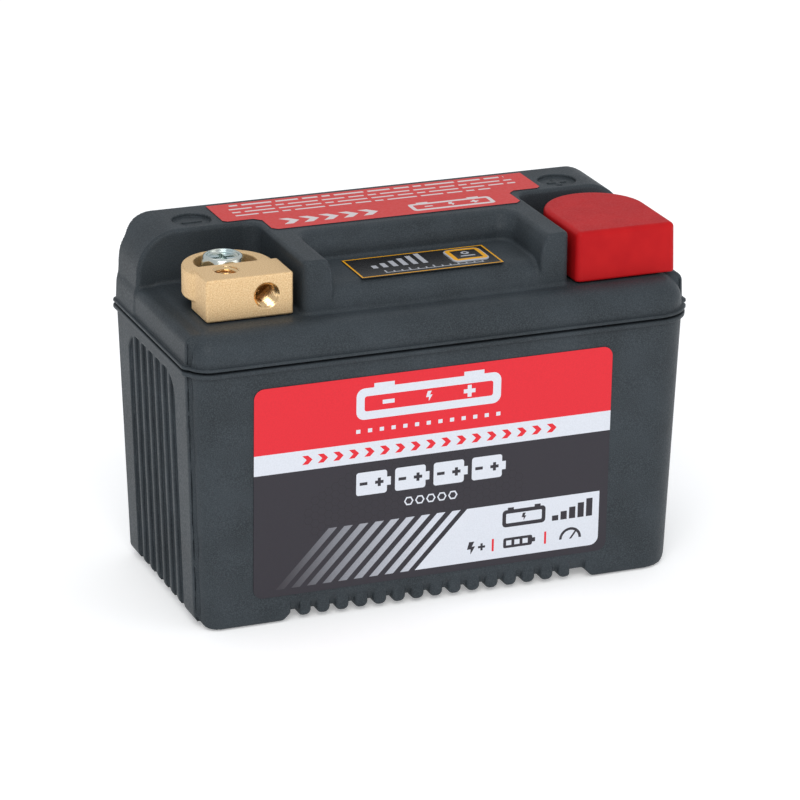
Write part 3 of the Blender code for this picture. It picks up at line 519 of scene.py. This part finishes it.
def screw_field(sign):
    def field(x, y, z):
        out, back = sign * x - TERMINAL_X, y - SCREW_Y
        r = np.hypot(out, back)
        hexagon = np.maximum(np.abs(back), np.abs(out) * math.sqrt(0.75) + np.abs(back) / 2)
        hexagon = hexagon - SCREW_FLATS / 2
        dome = r - SCREW_FLATS / 2 - 0.15 - 0.42 * (SCREW_TOP - 0.9 - z)
        head = both(both(hexagon, dome * 0.9, 0.12), z - SCREW_TOP, 0.5)
        head = both(head, SCREW_HEAD_Z - z, 0.1)
        dish = both(r - DISH_R, SCREW_TOP - DISH_DEEP - z, 0.5)
        thin, long = CROSS_HALF
        cross = np.minimum(both(np.abs(out) - thin, np.abs(back) - long),
                           both(np.abs(back) - thin, np.abs(out) - long))
        cross = both(cross, SCREW_TOP - CROSS_DEEP - z, 0.3)
        head = without(without(head, dish, 0.3), cross, 0.12)
        turn = (z + sign * np.arctan2(back, out) / (2 * math.pi)) % 1.0
        thread = THREAD_R - THREAD_DEEP * np.abs(2 * turn - 1)
        shank = both((r - thread) * 0.8, between(z, SCREW_LOW.z, SCREW_TOP - 2.5), 0.2)
        return either(head, shank)
    return field


def washer_field(sign, low, high):
    """One turn of square wire, cut across and sprung open a little."""
    def field(x, y, z):
        out, back = sign * x - TERMINAL_X, y - SCREW_Y
        r, angle = np.hypot(out, back), np.arctan2(back, out)
        lift = WASHER_SPRING * angle / math.pi
        ring = both(between(r, *WASHER_R), between(z - lift, low + 0.1, high - 0.1), 0.12)
        gap = both(np.abs(back + 0.5 * (z - low)) - 0.25, out)
        return without(ring, gap)
    return field


def cap_field(x, y, z):
    middle = (CAP_LOW.x + CAP_HIGH.x) / 2
    half = (CAP_HIGH.x - CAP_LOW.x) / 2
    back_y = CAP_HIGH.y - half
    lean = CAP_DRAFT * (z - CAP_LOW.z)
    across, behind = np.abs(x - middle), np.maximum(y - back_y, 0)
    side = np.where(y > back_y, np.hypot(across, behind), across) - half
    front = CAP_LOW.y - y
    skin = both(side + lean, front + lean, 1.5)
    skin = both(both(skin, z - CAP_HIGH.z, 1.3), CAP_LOW.z - z, 0.45)
    hollow = both(side + lean + CAP_WALL, front + CAP_FRONT_WALL, 1.2)
    return without(skin, both(hollow, z - CAP_HIGH.z + CAP_ROOF, 0.8), 0.3)


def button_field(x, y, z):
    out, back = x - BUTTON_MIDDLE.x, y - BUTTON_MIDDLE.y
    crown = BUTTON_CROWN * (out ** 2 + back ** 2)
    pad = both(rounded_rect(out, back, BUTTON_HALF.x, BUTTON_HALF.y, BUTTON_R),
               between(z, WELL_Z + 0.1, BUTTON_HIGH.z - crown), 0.2)
    pin = both(np.hypot(out, back) - PIN_R, between(z, BUTTON_LOW.z, WELL_Z + 0.4), 0.15)
    return either(pad, pin)


# ---------------------------------------------------------------- printed sheets

def arc(cx, cy, r, start, end, steps):
    """Points along an arc, angles in degrees."""
    angles = [math.radians(start + (end - start) * i / steps) for i in range(steps + 1)]
    return [(cx + r * math.cos(a), cy + r * math.sin(a)) for a in angles]


def rect(x0, y0, x1, y1, r=0.0, steps=6):
    if r == 0:
        return [(x0, y0), (x1, y0), (x1, y1), (x0, y1)]
    return [*arc(x1 - r, y0 + r, r, -90, 0, steps), *arc(x1 - r, y1 - r, r, 0, 90, steps),
            *arc(x0 + r, y1 - r, r, 90, 180, steps), *arc(x0 + r, y0 + r, r, 180, 270, steps)]


def signed_area(shape):
    return sum(a[0] * b[1] - b[0] * a[1] for a, b in zip(shape, shape[1:] + shape[:1])) / 2


def printed_sheet(name, edge, prints, thick, inks, place, holes=()):
    """A thin closed sheet. prints lists (polygon, ink number), later ones over earlier ones."""
    shapes = [list(s) for s in (edge, *(shape for shape, _ in prints), *holes)]
    shapes = [s if signed_area(s) > 0 else s[::-1] for s in shapes]
    points, faces = [], []
    for shape in shapes:
        faces.append(list(range(len(points), len(points) + len(shape))))
        points += [Vector(p) for p in shape]
    flat, _, tris, _, _, origins = delaunay_2d_cdt(points, [], faces, 1, 1e-4)
    first_hole = 1 + len(prints)
    kept, colours = [], []
    for tri, origin in zip(tris, origins):
        if 0 in origin and max(origin) < first_hole:
            kept.append(list(tri))
            colours.append(prints[max(origin) - 1][1] if max(origin) else 0)
    owners = {}
    for tri in kept:
        for a, b in zip(tri, tri[1:] + tri[:1]):
            owners[(a, b)] = owners.get((b, a), 0) == 0
    rim = [(a, b) for a, b in owners if (b, a) not in owners]
    count = len(flat)
    corners = [place @ Vector((*p, thick)) for p in flat] + [place @ Vector((*p, 0)) for p in flat]
    sides = [[a + count, b + count, b, a] for a, b in rim]
    under = [[i + count for i in reversed(tri)] for tri in kept]
    mesh = bpy.data.meshes.new(name)
    mesh.from_pydata([c * MM for c in corners], [], kept + sides + under)
    mesh.polygons.foreach_set("material_index", colours + [0] * (len(sides) + len(under)))
    for look in inks:
        mesh.materials.append(look)
    mesh.update()
    made = bpy.data.objects.new(name, mesh)
    bpy.context.scene.collection.objects.link(made)
    trim_loose(mesh)
    return made


def trim_loose(mesh):
    """Removes points that no face uses."""
    bm = bmesh.new()
    bm.from_mesh(mesh)
    bmesh.ops.delete(bm, geom=[v for v in bm.verts if not v.link_faces], context="VERTS")
    bm.to_mesh(mesh)
    bm.free()


def plus(x, y, size, bar):
    h, b = size / 2, bar / 2
    arm = [(b, -h), (b, -b), (h, -b)]
    shape = []
    for _ in range(4):
        shape += arm
        arm = [(-v, u) for u, v in arm]
    return [(x + u, y + v) for u, v in shape]


def minus(x, y, size, bar):
    return rect(x - size / 2, y - bar / 2, x + size / 2, y + bar / 2)


def bolt(x, y, tall):
    """A lightning bolt."""
    shape = [(-0.05, -0.5), (0.32, 0.12), (0.06, 0.12), (0.24, 0.5), (-0.16, 0.5), (-0.32, -0.08),
             (-0.04, -0.08)]
    return [(x + tall * u, y + tall * v) for u, v in shape]


def chevron(x, y, tall, wide):
    h = tall / 2
    return [(x, y - h), (x + wide, y - h), (x + wide + h, y), (x + wide, y + h), (x, y + h), (x + h, y)]


def hexagon(x, y, r):
    return [(x + r * math.cos(math.radians(60 * i)), y + r * math.sin(math.radians(60 * i)))
            for i in range(6)]


def battery_sign(x0, y0, x1, y1, ink, gap_ink, line, signs=True):
    """A battery drawn in outline, with two posts, a bolt and its two signs."""
    tall, wide = y1 - y0, x1 - x0
    posts = [(rect(x0 + wide * f, y1 - 0.2, x0 + wide * (f + 0.14), y1 + tall * 0.13), ink)
             for f in (0.12, 0.74)]
    shapes = [*posts, (rect(x0, y0, x1, y1, line), ink),
              (rect(x0 + line, y0 + line, x1 - line, y1 - line, line * 0.3), gap_ink)]
    shapes.append((bolt((x0 + x1) / 2, (y0 + y1) / 2, tall - 2.6 * line), ink))
    if signs:
        middle = (y0 + y1) / 2
        size = min(tall * 0.38, wide * 0.14)
        bar = min(line * 0.8, size * 0.34)
        shapes.append((minus(x0 + wide * 0.22, middle, size, bar), ink))
        shapes.append((plus(x1 - wide * 0.22, middle, size, bar), ink))
    return shapes


# Inks of the front and top labels; the top label's red has painted sheen in it
DARK, RED, WHITE, FADE, HEX_LINE, TOP_RED_PAINTED_SHEEN, TOP_WHITE = range(7)
WHITE_BAND = (39.2, 44.4)
STRIPE_Z = (8.8, 23.2)
STRIPE_X = -42.6
STRIPE_PITCH = 4.05
STRIPE_WIDE = 2.2
STRIPE_LEAN = 13.6
RATING_X = (-6.3, 42.9)                # the white panel with the small pictograms
SIGN_LEFT = -22.2
PRINT_SHIFT = (-2.2, 0.1)              # the label is stuck on a little off centre


def honeycomb(x0, x1, y0, y1, r, line):
    """A faint net of hexagons: each is a line-coloured hexagon with a dark one inside."""
    shapes = []
    mid_x, mid_y = (x0 + x1) / 2, (y0 + y1) / 2
    for i in range(int((x1 - x0) / (1.5 * r))):
        x = x0 + 1.5 * r * i
        shift = r * math.sqrt(0.75) * (i % 2)
        for j in range(int((y1 - y0) / (r * math.sqrt(3)))):
            y = y0 + shift + r * math.sqrt(3) * j
            if ((x - mid_x) / (x1 - x0)) ** 2 + ((y - mid_y) / (y1 - y0)) ** 2 < 0.23:
                shapes.append((hexagon(x, y, r + line / 2), HEX_LINE))
                shapes.append((hexagon(x, y, r - line / 2), DARK))
    return shapes


def front_prints():
    x0, x1, z1 = FRONT_LOW.x - 1, FRONT_HIGH.x + 3, FRONT_HIGH.z + 1
    prints = honeycomb(-36, 24, 13, 40, 1.15, 0.15)
    prints.append((rect(x0, WHITE_BAND[1], x1, z1), RED))
    prints.append((rect(x0, WHITE_BAND[0], x1, WHITE_BAND[1]), WHITE))
    low, high = STRIPE_Z
    for i in range(9):
        x = STRIPE_X + STRIPE_PITCH * i
        prints.append(([(x, low), (x + STRIPE_WIDE, low), (x + STRIPE_WIDE + STRIPE_LEAN, high),
                        (x + STRIPE_LEAN, high)], FADE))
    left, right = RATING_X
    corner = 2.2
    panel = [(left, low), *arc(right - corner, low + corner, corner, -90, 0, 6), (right, high),
             (left + STRIPE_LEAN, high)]
    prints.append((panel, WHITE))
    prints += battery_sign(SIGN_LEFT, 50.3, 15.5, 58.4, WHITE, RED, 2.1)
    for i in range(13):
        x = SIGN_LEFT + 3.05 * i
        prints.append((rect(x, 46.9, x + 1.1, 47.9), WHITE))
    for i in range(17):
        prints.append((chevron(-36.0 + 4.0 * i, 41.8, 2.3, 1.5), RED))
    for i in range(4):
        prints += cell_sign(-22.0 + 10.1 * i, 33.6)
    for i in range(5):
        x, z = -8.2 + 2.9 * i, 27.5
        prints.append((hexagon(x, z, 1.25), WHITE))
        prints.append((hexagon(x, z, 0.85), DARK))
    prints += rating_icons()
    dx, dz = PRINT_SHIFT
    return [([(x + dx, z + dz) for x, z in shape], ink_number) for shape, ink_number in prints]


def cell_sign(left, middle):
    """A white cell lying on its side, with its two signs."""
    return [(rect(left, middle - 3.0, left + 8.0, middle + 3.0, 0.7), WHITE),
            (rect(left + 7.9, middle - 1.1, left + 9.0, middle + 1.1), WHITE),
            (minus(left + 1.9, middle, 2.0, 0.8), DARK), (plus(left + 6.0, middle, 2.2, 0.8), DARK)]


def rating_icons():
    """The dark pictograms on the white panel, with two red rules between the small ones."""
    prints = battery_sign(16.8, 16.8, 28.4, 21.4, DARK, WHITE, 1.0, signs=False)
    for i in range(5):
        x = 30.2 + 2.3 * i
        prints.append((rect(x, 16.8, x + 1.7, 18.2 + 0.85 * i), DARK))
    for x in (14.4, 28.5):
        prints.append((rect(x - 0.28, 10.9, x + 0.28, 14.2), RED))
    prints.append((bolt(8.6, 12.5, 3.4), DARK))
    prints.append((plus(11.4, 12.5, 1.9, 0.6), DARK))
    prints.append((rect(17.2, 11.2, 25.0, 13.9, 0.5, 3), DARK))
    prints.append((rect(24.9, 12.0, 25.8, 13.1), DARK))
    for i in range(3):
        x = 18.0 + 2.2 * i
        prints.append((rect(x, 11.9, x + 1.4, 13.2), WHITE))
    prints.append((arc(35.3, 11.4, 3.0, 0, 180, 12), DARK))
    prints.append((arc(35.3, 11.4, 2.3, 0, 180, 12), WHITE))
    prints.append(([(35.0, 11.3), (35.6, 11.3), (37.0, 13.2), (36.6, 13.5)], DARK))
    return prints


def front_label(inks):
    slope = DRAFT_Y / RIM_Z
    lean = math.atan(slope)
    up = Vector((0, -math.sin(lean), math.cos(lean)))
    out = Vector((0, -math.cos(lean), -math.sin(lean)))
    base = Vector((0, -(BODY_Y - DRAFT_Y), 0)) + out * 0.03
    place = Matrix(((1, 0, 0, 0), (0, up.y, out.y, base.y), (0, up.z, out.z, base.z), (0, 0, 0, 1)))
    edge = rect(FRONT_LOW.x, FRONT_LOW.z, FRONT_HIGH.x, FRONT_HIGH.z, 2.6, 8)
    made = printed_sheet("front_label_print", edge, front_prints(), 0.16, inks, place)
    stand_for(made, "front_label")


def top_edge():
    """The top label's cut edge: a wide strip with a narrower tongue towards the gauge."""
    step_y, half, tongue = POCKET_BACK_Y + 1.6, TOP_HIGH.x, POCKET_X - 1.6
    front, rear = TOP_LOW.y, TOP_HIGH.y
    right = [(tongue - 1.3, front), (tongue, front + 1.3), (tongue, step_y - 1.8),
             (tongue + 1.8, step_y), (half - 1.0, step_y), (half, step_y + 1.0), (half, rear)]
    return right + [(-x, y) for x, y in reversed(right)]


def top_label(inks):
    place = Matrix.Translation((0, 0, PLATEAU_Z + 0.03))
    prints = [(rect(-60, 0, 60, 40), TOP_RED_PAINTED_SHEEN)]
    rows = [(24.9, 1.0, -37, 37), (22.0, 0.8, -38, 38), (19.4, 0.8, -38, 38), (16.8, 0.8, -38, 30)]
    for row, (y, tall, start, end) in enumerate(rows):
        x = start
        step = 0
        while x < end:
            wide = 2.2 + 1.9 * ((3 * step + 2 * row) % 4)
            prints.append((rect(x, y - tall / 2, min(x + wide, end), y + tall / 2), TOP_WHITE))
            x += wide + 1.1
            step += 1
    prints += battery_sign(5.0, 5.3, 27.0, 10.9, TOP_WHITE, TOP_RED_PAINTED_SHEEN, 1.1)
    for i in range(5):
        prints.append((chevron(-29.0 + 5.2 * i, 8.6, 4.6, 2.4), TOP_WHITE))
    made = printed_sheet("top_label_print", top_edge(), prints, 0.16, inks, place)
    stand_for(made, "top_label")


# Inks of the gauge
BLACK, AMBER, PALE = range(3)


def display_label(inks):
    x0, x1, y0, y1 = DISPLAY_LOW.x, DISPLAY_HIGH.x, DISPLAY_LOW.y, DISPLAY_HIGH.y
    place = Matrix.Translation((0, 0, WELL_Z + 0.03))
    line = 0.55
    prints = [(rect(x0 + 0.1, y0 + 0.1, x1 - 0.1, y1 - 0.1), AMBER),
              (rect(x0 + line, y0 + line, x1 - line, y1 - line), BLACK)]
    for i in range(6):
        x = -13.3 + 2.6 * i
        prints.append((rect(x, -13.9, x + 1.35, -11.7 + 1.05 * i), PALE))
    scale_left, scale_y = -11.5, -17.6
    for i in range(13):
        x = scale_left + 2.1 * i
        tall = 1.6 if i % 3 == 0 else 0.9
        prints.append((rect(x, scale_y, x + 0.4, scale_y + tall), PALE))
    prints.append((rect(scale_left, scale_y - 0.3, 14.1, scale_y + 0.05), PALE))
    gap = 0.12
    window = rect(BUTTON_LOW.x - gap, BUTTON_LOW.y - gap, BUTTON_HIGH.x + gap, BUTTON_HIGH.y + gap, 1.7)
    made = printed_sheet("display_film", rect(x0, y0, x1, y1), prints, 0.2, inks, place, [window])
    stand_for(made, "display_label")


def button_ink(x, y, z):
    """The button's print: a pale edge, an amber frame, and a short pale bar with a ring above it."""
    out, back = x - BUTTON_MIDDLE.x, y - BUTTON_MIDDLE.y
    edge = rounded_rect(out, back, BUTTON_HALF.x, BUTTON_HALF.y, BUTTON_R)
    shade = np.where(edge > -0.35, PALE, np.where(edge > -1.45, AMBER, BLACK))
    bar = rounded_rect(out, back + 1.3, 1.9, 0.35, 0.1)
    dot = np.abs(np.hypot(out, back - 0.9) - 0.75) - 0.3
    return np.where(np.minimum(bar, dot) < 0, PALE, shade)


# ---------------------------------------------------------------- materials

def srgb(r, g, b):
    """A colour given as 0 to 255 display values, as the shader's linear values."""
    return tuple(c / 12.92 if c <= 0.04045 else ((c + 0.055) / 1.055) ** 2.4
                 for c in (r / 255, g / 255, b / 255))


class Shader:
    """A Principled material and a short way to add nodes to it."""

    def __init__(self, name, colour, roughness, metallic=0.0, **inputs):
        self.material = bpy.data.materials.new(name)
        self.material.use_nodes = True
        self.tree = self.material.node_tree
        self.main = self.tree.nodes["Principled BSDF"]
        self.set(self.main, Base_Color=(*colour, 1.0), Roughness=roughness, Metallic=metallic, **inputs)
        self.place = self.add("TexCoord").outputs["Object"]

    def set(self, node, **inputs):
        for key, value in inputs.items():
            socket = node.inputs[key.replace("_", " ")]
            if isinstance(value, bpy.types.NodeSocket):
                self.tree.links.new(value, socket)
            else:
                socket.default_value = value
        return node

    def add(self, kind, settings=None, **inputs):
        node = self.tree.nodes.new("ShaderNode" + kind)
        for key, value in (settings or {}).items():
            setattr(node, key, value)
        return self.set(node, **inputs)

    def noise(self, size_mm, detail=2.0, roughness=0.5):
        """Noise whose features are about this size."""
        return self.add("TexNoise", Vector=self.place, Scale=1 / (size_mm * MM), Detail=detail,
                        Roughness=roughness).outputs["Fac"]

    def ranged(self, value, low, high, start=0.35, end=0.65):
        return self.add("MapRange", Value=value, From_Min=start, From_Max=end, To_Min=low,
                        To_Max=high).outputs["Result"]

    def mix(self, factor, first, second):
        node = self.add("Mix", {"data_type": "RGBA"})
        for socket, value in ((0, factor), (6, first), (7, second)):
            if isinstance(value, bpy.types.NodeSocket):
                self.tree.links.new(value, node.inputs[socket])
            else:
                node.inputs[socket].default_value = value if socket == 0 else (*value, 1.0)
        return node.outputs[2]

    def bump(self, height, strength, depth_mm, normal=None):
        inputs = {"Height": height, "Strength": strength, "Distance": depth_mm * MM}
        if normal is not None:
            inputs["Normal"] = normal
        return self.add("Bump", **inputs).outputs["Normal"]


def case_plastic():
    """Slate grey moulded plastic: a fine spark-eroded grain, faint clouding, and painted sparkle:
    lighter specks in the colour that stand in for glints off the grain.
    """
    dark, light = srgb(43, 48, 52), srgb(52, 58, 63)
    s = Shader("case_plastic", dark, 0.5, Specular_IOR_Level=0.16)
    cloud = s.ranged(s.noise(14.0, 3.0), 0.0, 1.0)
    # painted sparkle: lighter specks mixed into the colour stand in for glints off the grain
    speck = s.ranged(s.noise(0.24, 1.0), 0.0, 0.4, 0.4, 0.75)
    colour = s.mix(cloud, dark, light)
    s.set(s.main, Base_Color=s.mix(speck, colour, srgb(84, 92, 96)))
    s.set(s.main, Roughness=s.ranged(s.noise(0.5, 2.0), 0.40, 0.56))
    grain = s.bump(s.noise(0.24, 2.0, 0.6), 0.4, 0.03)
    s.set(s.main, Normal=s.bump(s.noise(3.0, 2.0), 0.10, 0.10, grain))
    return s.material


def cast_brass(name="brass", cut=False):
    """Sand-blasted brass, or its bright machined face inside a thread."""
    base, warm = srgb(248, 220, 174), srgb(226, 190, 142)
    s = Shader(name, base, 0.5, 1.0)
    if cut:
        s.set(s.main, Base_Color=(*srgb(240, 206, 156), 1.0), Roughness=0.2)
        s.set(s.main, Normal=s.bump(s.noise(0.4, 2.0), 0.2, 0.02))
        return s.material
    patch = s.ranged(s.noise(0.3, 3.0), 0.0, 1.0)
    s.set(s.main, Base_Color=s.mix(patch, base, warm))
    s.set(s.main, Roughness=s.ranged(s.noise(0.4, 2.0), 0.50, 0.66))
    s.set(s.main, Normal=s.bump(s.noise(0.24, 2.0, 0.6), 0.65, 0.045))
    return s.material


def zinc():
    """Blue-passivated zinc plate: bright, a little uneven."""
    s = Shader("zinc_steel", srgb(196, 208, 208), 0.24, 1.0)
    tint = s.ranged(s.noise(5.0, 1.0), 0.0, 1.0)
    s.set(s.main, Base_Color=s.mix(tint, srgb(188, 204, 206), srgb(214, 216, 206)))
    s.set(s.main, Roughness=s.ranged(s.noise(3.0, 1.0), 0.20, 0.26))
    return s.material


def cap_plastic():
    """Red satin plastic with a very fine grain."""
    s = Shader("cap_plastic", srgb(180, 23, 27), 0.42, Specular_IOR_Level=0.1)
    cloud = s.ranged(s.noise(6.0, 2.0), 0.0, 1.0)
    s.set(s.main, Base_Color=s.mix(cloud, srgb(178, 21, 26), srgb(186, 25, 28)))
    s.set(s.main, Roughness=s.ranged(s.noise(0.4, 2.0), 0.38, 0.50))
    s.set(s.main, Normal=s.bump(s.noise(0.3, 2.0), 0.35, 0.02))
    return s.material


def ink(name, colour, roughness=0.38, grain=0.03):
    """Printed vinyl: an even colour with a trace of print grain under a satin film."""
    s = Shader(name, colour, roughness, Specular_IOR_Level=0.3)
    speck = s.ranged(s.noise(0.3, 1.0), 0.0, 1.0)
    darker = tuple(c * (1 - 2 * grain) for c in colour)
    s.set(s.main, Base_Color=s.mix(speck, darker, colour))
    s.set(s.main, Roughness=s.ranged(s.noise(0.9, 2.0), roughness - 0.04, roughness + 0.06))
    s.set(s.main, Normal=s.bump(s.noise(1.2, 2.0), 0.06, 0.02))
    return s.material


def fading_ink(name, dark, pale, start_mm, end_mm):
    """An ink that goes from dark to pale along X."""
    s = Shader(name, pale, 0.38)
    across = s.add("SeparateXYZ", Vector=s.place).outputs["X"]
    fade = s.ranged(across, 0.0, 1.0, start_mm * MM, end_mm * MM)
    speck = s.ranged(s.noise(0.3, 1.0), 0.0, 0.12)
    soft = s.add("Math", {"operation": "POWER"})
    s.tree.links.new(fade, soft.inputs[0])
    soft.inputs[1].default_value = 1.35
    s.set(s.main, Base_Color=s.mix(speck, s.mix(soft.outputs[0], dark, pale), dark))
    return s.material


def plain(name, colour, roughness, metallic=0.0, size_mm=1.0, strength=0.2, vary=0.12):
    """A procedural finish for an inner piece: two tones, uneven gloss and a light grain."""
    s = Shader(name, colour, roughness, metallic)
    tone = s.ranged(s.noise(size_mm * 3, 2.0), 0.0, 1.0)
    lighter = tuple(min(1.0, c * (1 + vary) + 0.004) for c in colour)
    s.set(s.main, Base_Color=s.mix(tone, colour, lighter))
    duller = min(1.0, roughness * 1.15)
    s.set(s.main, Roughness=s.ranged(s.noise(size_mm, 2.0), roughness * 0.85, duller))
    s.set(s.main, Normal=s.bump(s.noise(size_mm * 0.5, 2.0), strength, 0.03))
    return s.material


def board(name):
    """A circuit board: green mask over a net of straight tracks."""
    s = Shader(name, srgb(16, 84, 48), 0.35)
    tracks = s.add("TexBrick", Vector=s.place, Scale=300.0, Mortar_Size=0.06).outputs["Fac"]
    s.set(s.main, Base_Color=s.mix(tracks, srgb(14, 76, 44), srgb(40, 120, 66)))
    s.set(s.main, Normal=s.bump(tracks, 0.2, 0.03))
    return s.material


def inner_materials():
    """One procedural material for each of the record's slots."""
    return {
        "case_plastic": bpy.data.materials["case_plastic"],
        "cap_plastic": bpy.data.materials["cap_plastic"],
        "brass": bpy.data.materials["brass"],
        "zinc_steel": bpy.data.materials["zinc_steel"],
        "label_red": bpy.data.materials["print_red"],
        "label_black": bpy.data.materials["gauge_black"],
        "cell_sleeve": plain("cell_sleeve", srgb(36, 92, 170), 0.32, 0.0, 4.0, 0.1),
        "nickel": plain("nickel", srgb(206, 202, 194), 0.3, 1.0, 0.6, 0.2),
        "holder_plastic": plain("holder_plastic", srgb(38, 38, 40), 0.6, 0.0, 0.5, 0.4),
        "board_green": board("board_green"),
        "chip_black": plain("chip_black", srgb(34, 34, 36), 0.5, 0.0, 0.3, 0.3),
        "connector_white": plain("connector_white", srgb(228, 224, 210), 0.5, 0.0, 0.8, 0.1),
        "led_red": plain("led_red", srgb(206, 50, 40), 0.15, 0.0, 1.0, 0.05),
        "foam_grey": plain("foam_grey", srgb(112, 112, 114), 0.95, 0.0, 0.7, 0.9, 0.3),
        "wire_black": plain("wire_black", srgb(34, 34, 36), 0.45, 0.0, 1.0, 0.1),
        "wire_red": plain("wire_red", srgb(186, 34, 34), 0.45, 0.0, 1.0, 0.1),
    }


# ---------------------------------------------------------------- the battery

def case_pieces(look):
    side_x, side_y = PANEL_X + 2.0, BODY_Y + 1.8
    xs = spaced((-side_x, 0.42), side_x)
    ys = spaced((-side_y, 0.42), side_y)
    zs = spaced((-0.8, 0.36), (7.4, 1.5), (55.0, 0.6), (64.8, 0.28), 69.9)
    moulded("case_tub_shell", "case_tub", tub_field, (xs, ys, zs), [look])
    zs = spaced((66.4, 0.26), (68.9, 0.42), PLATEAU_Z + 0.9)
    moulded("case_lid_shell", "case_lid", lid_field, (xs, ys, zs), [look])


def terminal_pieces(looks, zinc_look):
    for sign, side in ((-1, "negative"), (1, "positive")):
        low, high = box_mm(side + "_terminal")
        grid = [spaced((a - 0.6, 0.17), b + 0.6) for a, b in zip(low, high)]
        moulded(side + "_terminal_cast", side + "_terminal", terminal_field(sign), grid, looks,
                cut_metal(sign))
        low, high = box_mm(side + "_screw")
        grid = [spaced((a - 0.5, 0.13), b + 0.5) for a, b in zip(low, high)]
        moulded(side + "_hex_screw", side + "_screw", screw_field(sign), grid,
                [zinc_look])
        low, high = box_mm(side + "_spring_washer")
        grid = [spaced((a - 0.5, 0.15), b + 0.5) for a, b in zip(low, high)]
        moulded(side + "_split_washer", side + "_spring_washer",
                washer_field(sign, low.z, high.z), grid, [zinc_look])


def build_battery():
    plastic = case_plastic()
    brass_looks = [cast_brass(), cast_brass("brass_machined", cut=True)]
    zinc_look, cap_look = zinc(), cap_plastic()
    dark, pale = srgb(47, 44, 51), srgb(216, 220, 228)
    label_inks = [ink("print_dark", dark), ink("print_red", srgb(222, 35, 48)),
                  ink("print_white", pale),
                  fading_ink("print_fade", dark, srgb(210, 214, 224), -44.0, -4.0),
                  ink("print_hex_line", srgb(40, 38, 43)),
                  # the top label's red is the front label's red washed out: painted sheen from light
                  # glancing off the lid's top
                  ink("print_top_red_painted_sheen", srgb(208, 60, 58), 0.5),
                  ink("print_top_white", srgb(216, 206, 206), 0.5)]
    gauge_inks = [ink("gauge_black", srgb(30, 29, 30), 0.3), ink("gauge_amber", srgb(232, 166, 14)),
                  ink("gauge_pale", srgb(176, 178, 184))]
    case_pieces(plastic)
    terminal_pieces(brass_looks, zinc_look)
    grid = [spaced((a - 0.8, 0.32), b + 0.8) for a, b in zip(CAP_LOW, CAP_HIGH)]
    moulded("terminal_cap_shell", "terminal_cap", cap_field, grid, [cap_look])
    grid = [spaced((a - 0.4, 0.1), b + 0.4) for a, b in zip(BUTTON_LOW, BUTTON_HIGH)]
    moulded("test_button_pad", "test_button", button_field, grid, gauge_inks, button_ink)
    front_label(label_inks)
    top_label(label_inks)
    display_label(gauge_inks)
    looks = inner_materials()
    slots = {part["node"]: part["material_slot"] for part in frame["record"]["subparts"]}
    for name, node in frame["nodes"].items():
        node.data.materials.clear()
        node.data.materials.append(looks[slots[name]])


# ---------------------------------------------------------------- camera, light and floor

LENS_MM = 178.57
SENSOR_MM = 36.0
CAMERA_MM = (-344.99, -866.59, 384.036)
CAMERA_AZIMUTH, CAMERA_ELEVATION, CAMERA_ROLL = -21.672, 20.149, 0.526


def camera():
    az, el, roll = (math.radians(a) for a in (CAMERA_AZIMUTH, CAMERA_ELEVATION, CAMERA_ROLL))
    back = Vector((math.sin(az) * math.cos(el), -math.cos(az) * math.cos(el), math.sin(el)))
    right = (-back).cross(Vector((0, 0, 1))).normalized()
    up = right.cross(-back)
    turned_right = right * math.cos(roll) + up * math.sin(roll)
    turned_up = up * math.cos(roll) - right * math.sin(roll)
    data = bpy.data.cameras.new("camera")
    data.lens, data.sensor_width = LENS_MM, SENSOR_MM
    data.clip_start, data.clip_end = 0.01, 50.0
    made = bpy.data.objects.new("camera", data)
    axes = Matrix((turned_right, turned_up, back)).transposed().to_4x4()
    made.matrix_world = Matrix.Translation(Vector(CAMERA_MM) * MM) @ axes
    bpy.context.scene.collection.objects.link(made)
    bpy.context.scene.camera = made


def area_light(name, place, size, power, colour=(1, 1, 1), aim=(0, 0, 0.045)):
    data = bpy.data.lights.new(name, "AREA")
    data.shape = "RECTANGLE"
    data.size, data.size_y = size
    data.energy = power
    data.color = colour
    made = bpy.data.objects.new(name, data)
    made.location = place
    made.rotation_euler = (Vector(aim) - Vector(place)).to_track_quat("-Z", "Y").to_euler()
    bpy.context.scene.collection.objects.link(made)


def studio():
    scene = bpy.context.scene
    scene.view_settings.view_transform = "Standard"
    world = bpy.data.worlds.new("world")
    world.use_nodes = True
    world.node_tree.nodes["Background"].inputs["Color"].default_value = (0.93, 0.96, 1.0, 1.0)
    world.node_tree.nodes["Background"].inputs["Strength"].default_value = 0.66
    scene.world = world
    area_light("key", (-0.45, -1.0, 1.15), (0.9, 0.9), 9.0, (1.0, 0.985, 0.96))
    area_light("fill", (1.2, -1.0, 0.6), (1.0, 1.0), 3.2, (0.95, 0.97, 1.0))
    area_light("top", (0.1, 0.5, 1.5), (1.2, 0.8), 1.8)
    mesh = bpy.data.meshes.new("floor")
    half = 4.0
    mesh.from_pydata([(-half, -half, 0), (half, -half, 0), (half, half, 0), (-half, half, 0)], [],
                     [(0, 1, 2, 3)])
    floor = bpy.data.objects.new("floor", mesh)
    floor.location.z = -0.0002
    paper = plain("floor", (0.9, 0.9, 0.9), 0.9, 0.0, 40.0, 0.0, 0.01)
    glow = paper.node_tree.nodes["Principled BSDF"].inputs
    glow["Emission Color"].default_value = (1.0, 1.0, 1.0, 1.0)
    glow["Emission Strength"].default_value = 0.3
    mesh.materials.append(paper)
    scene.collection.objects.link(floor)


camera()
studio()
build_battery()
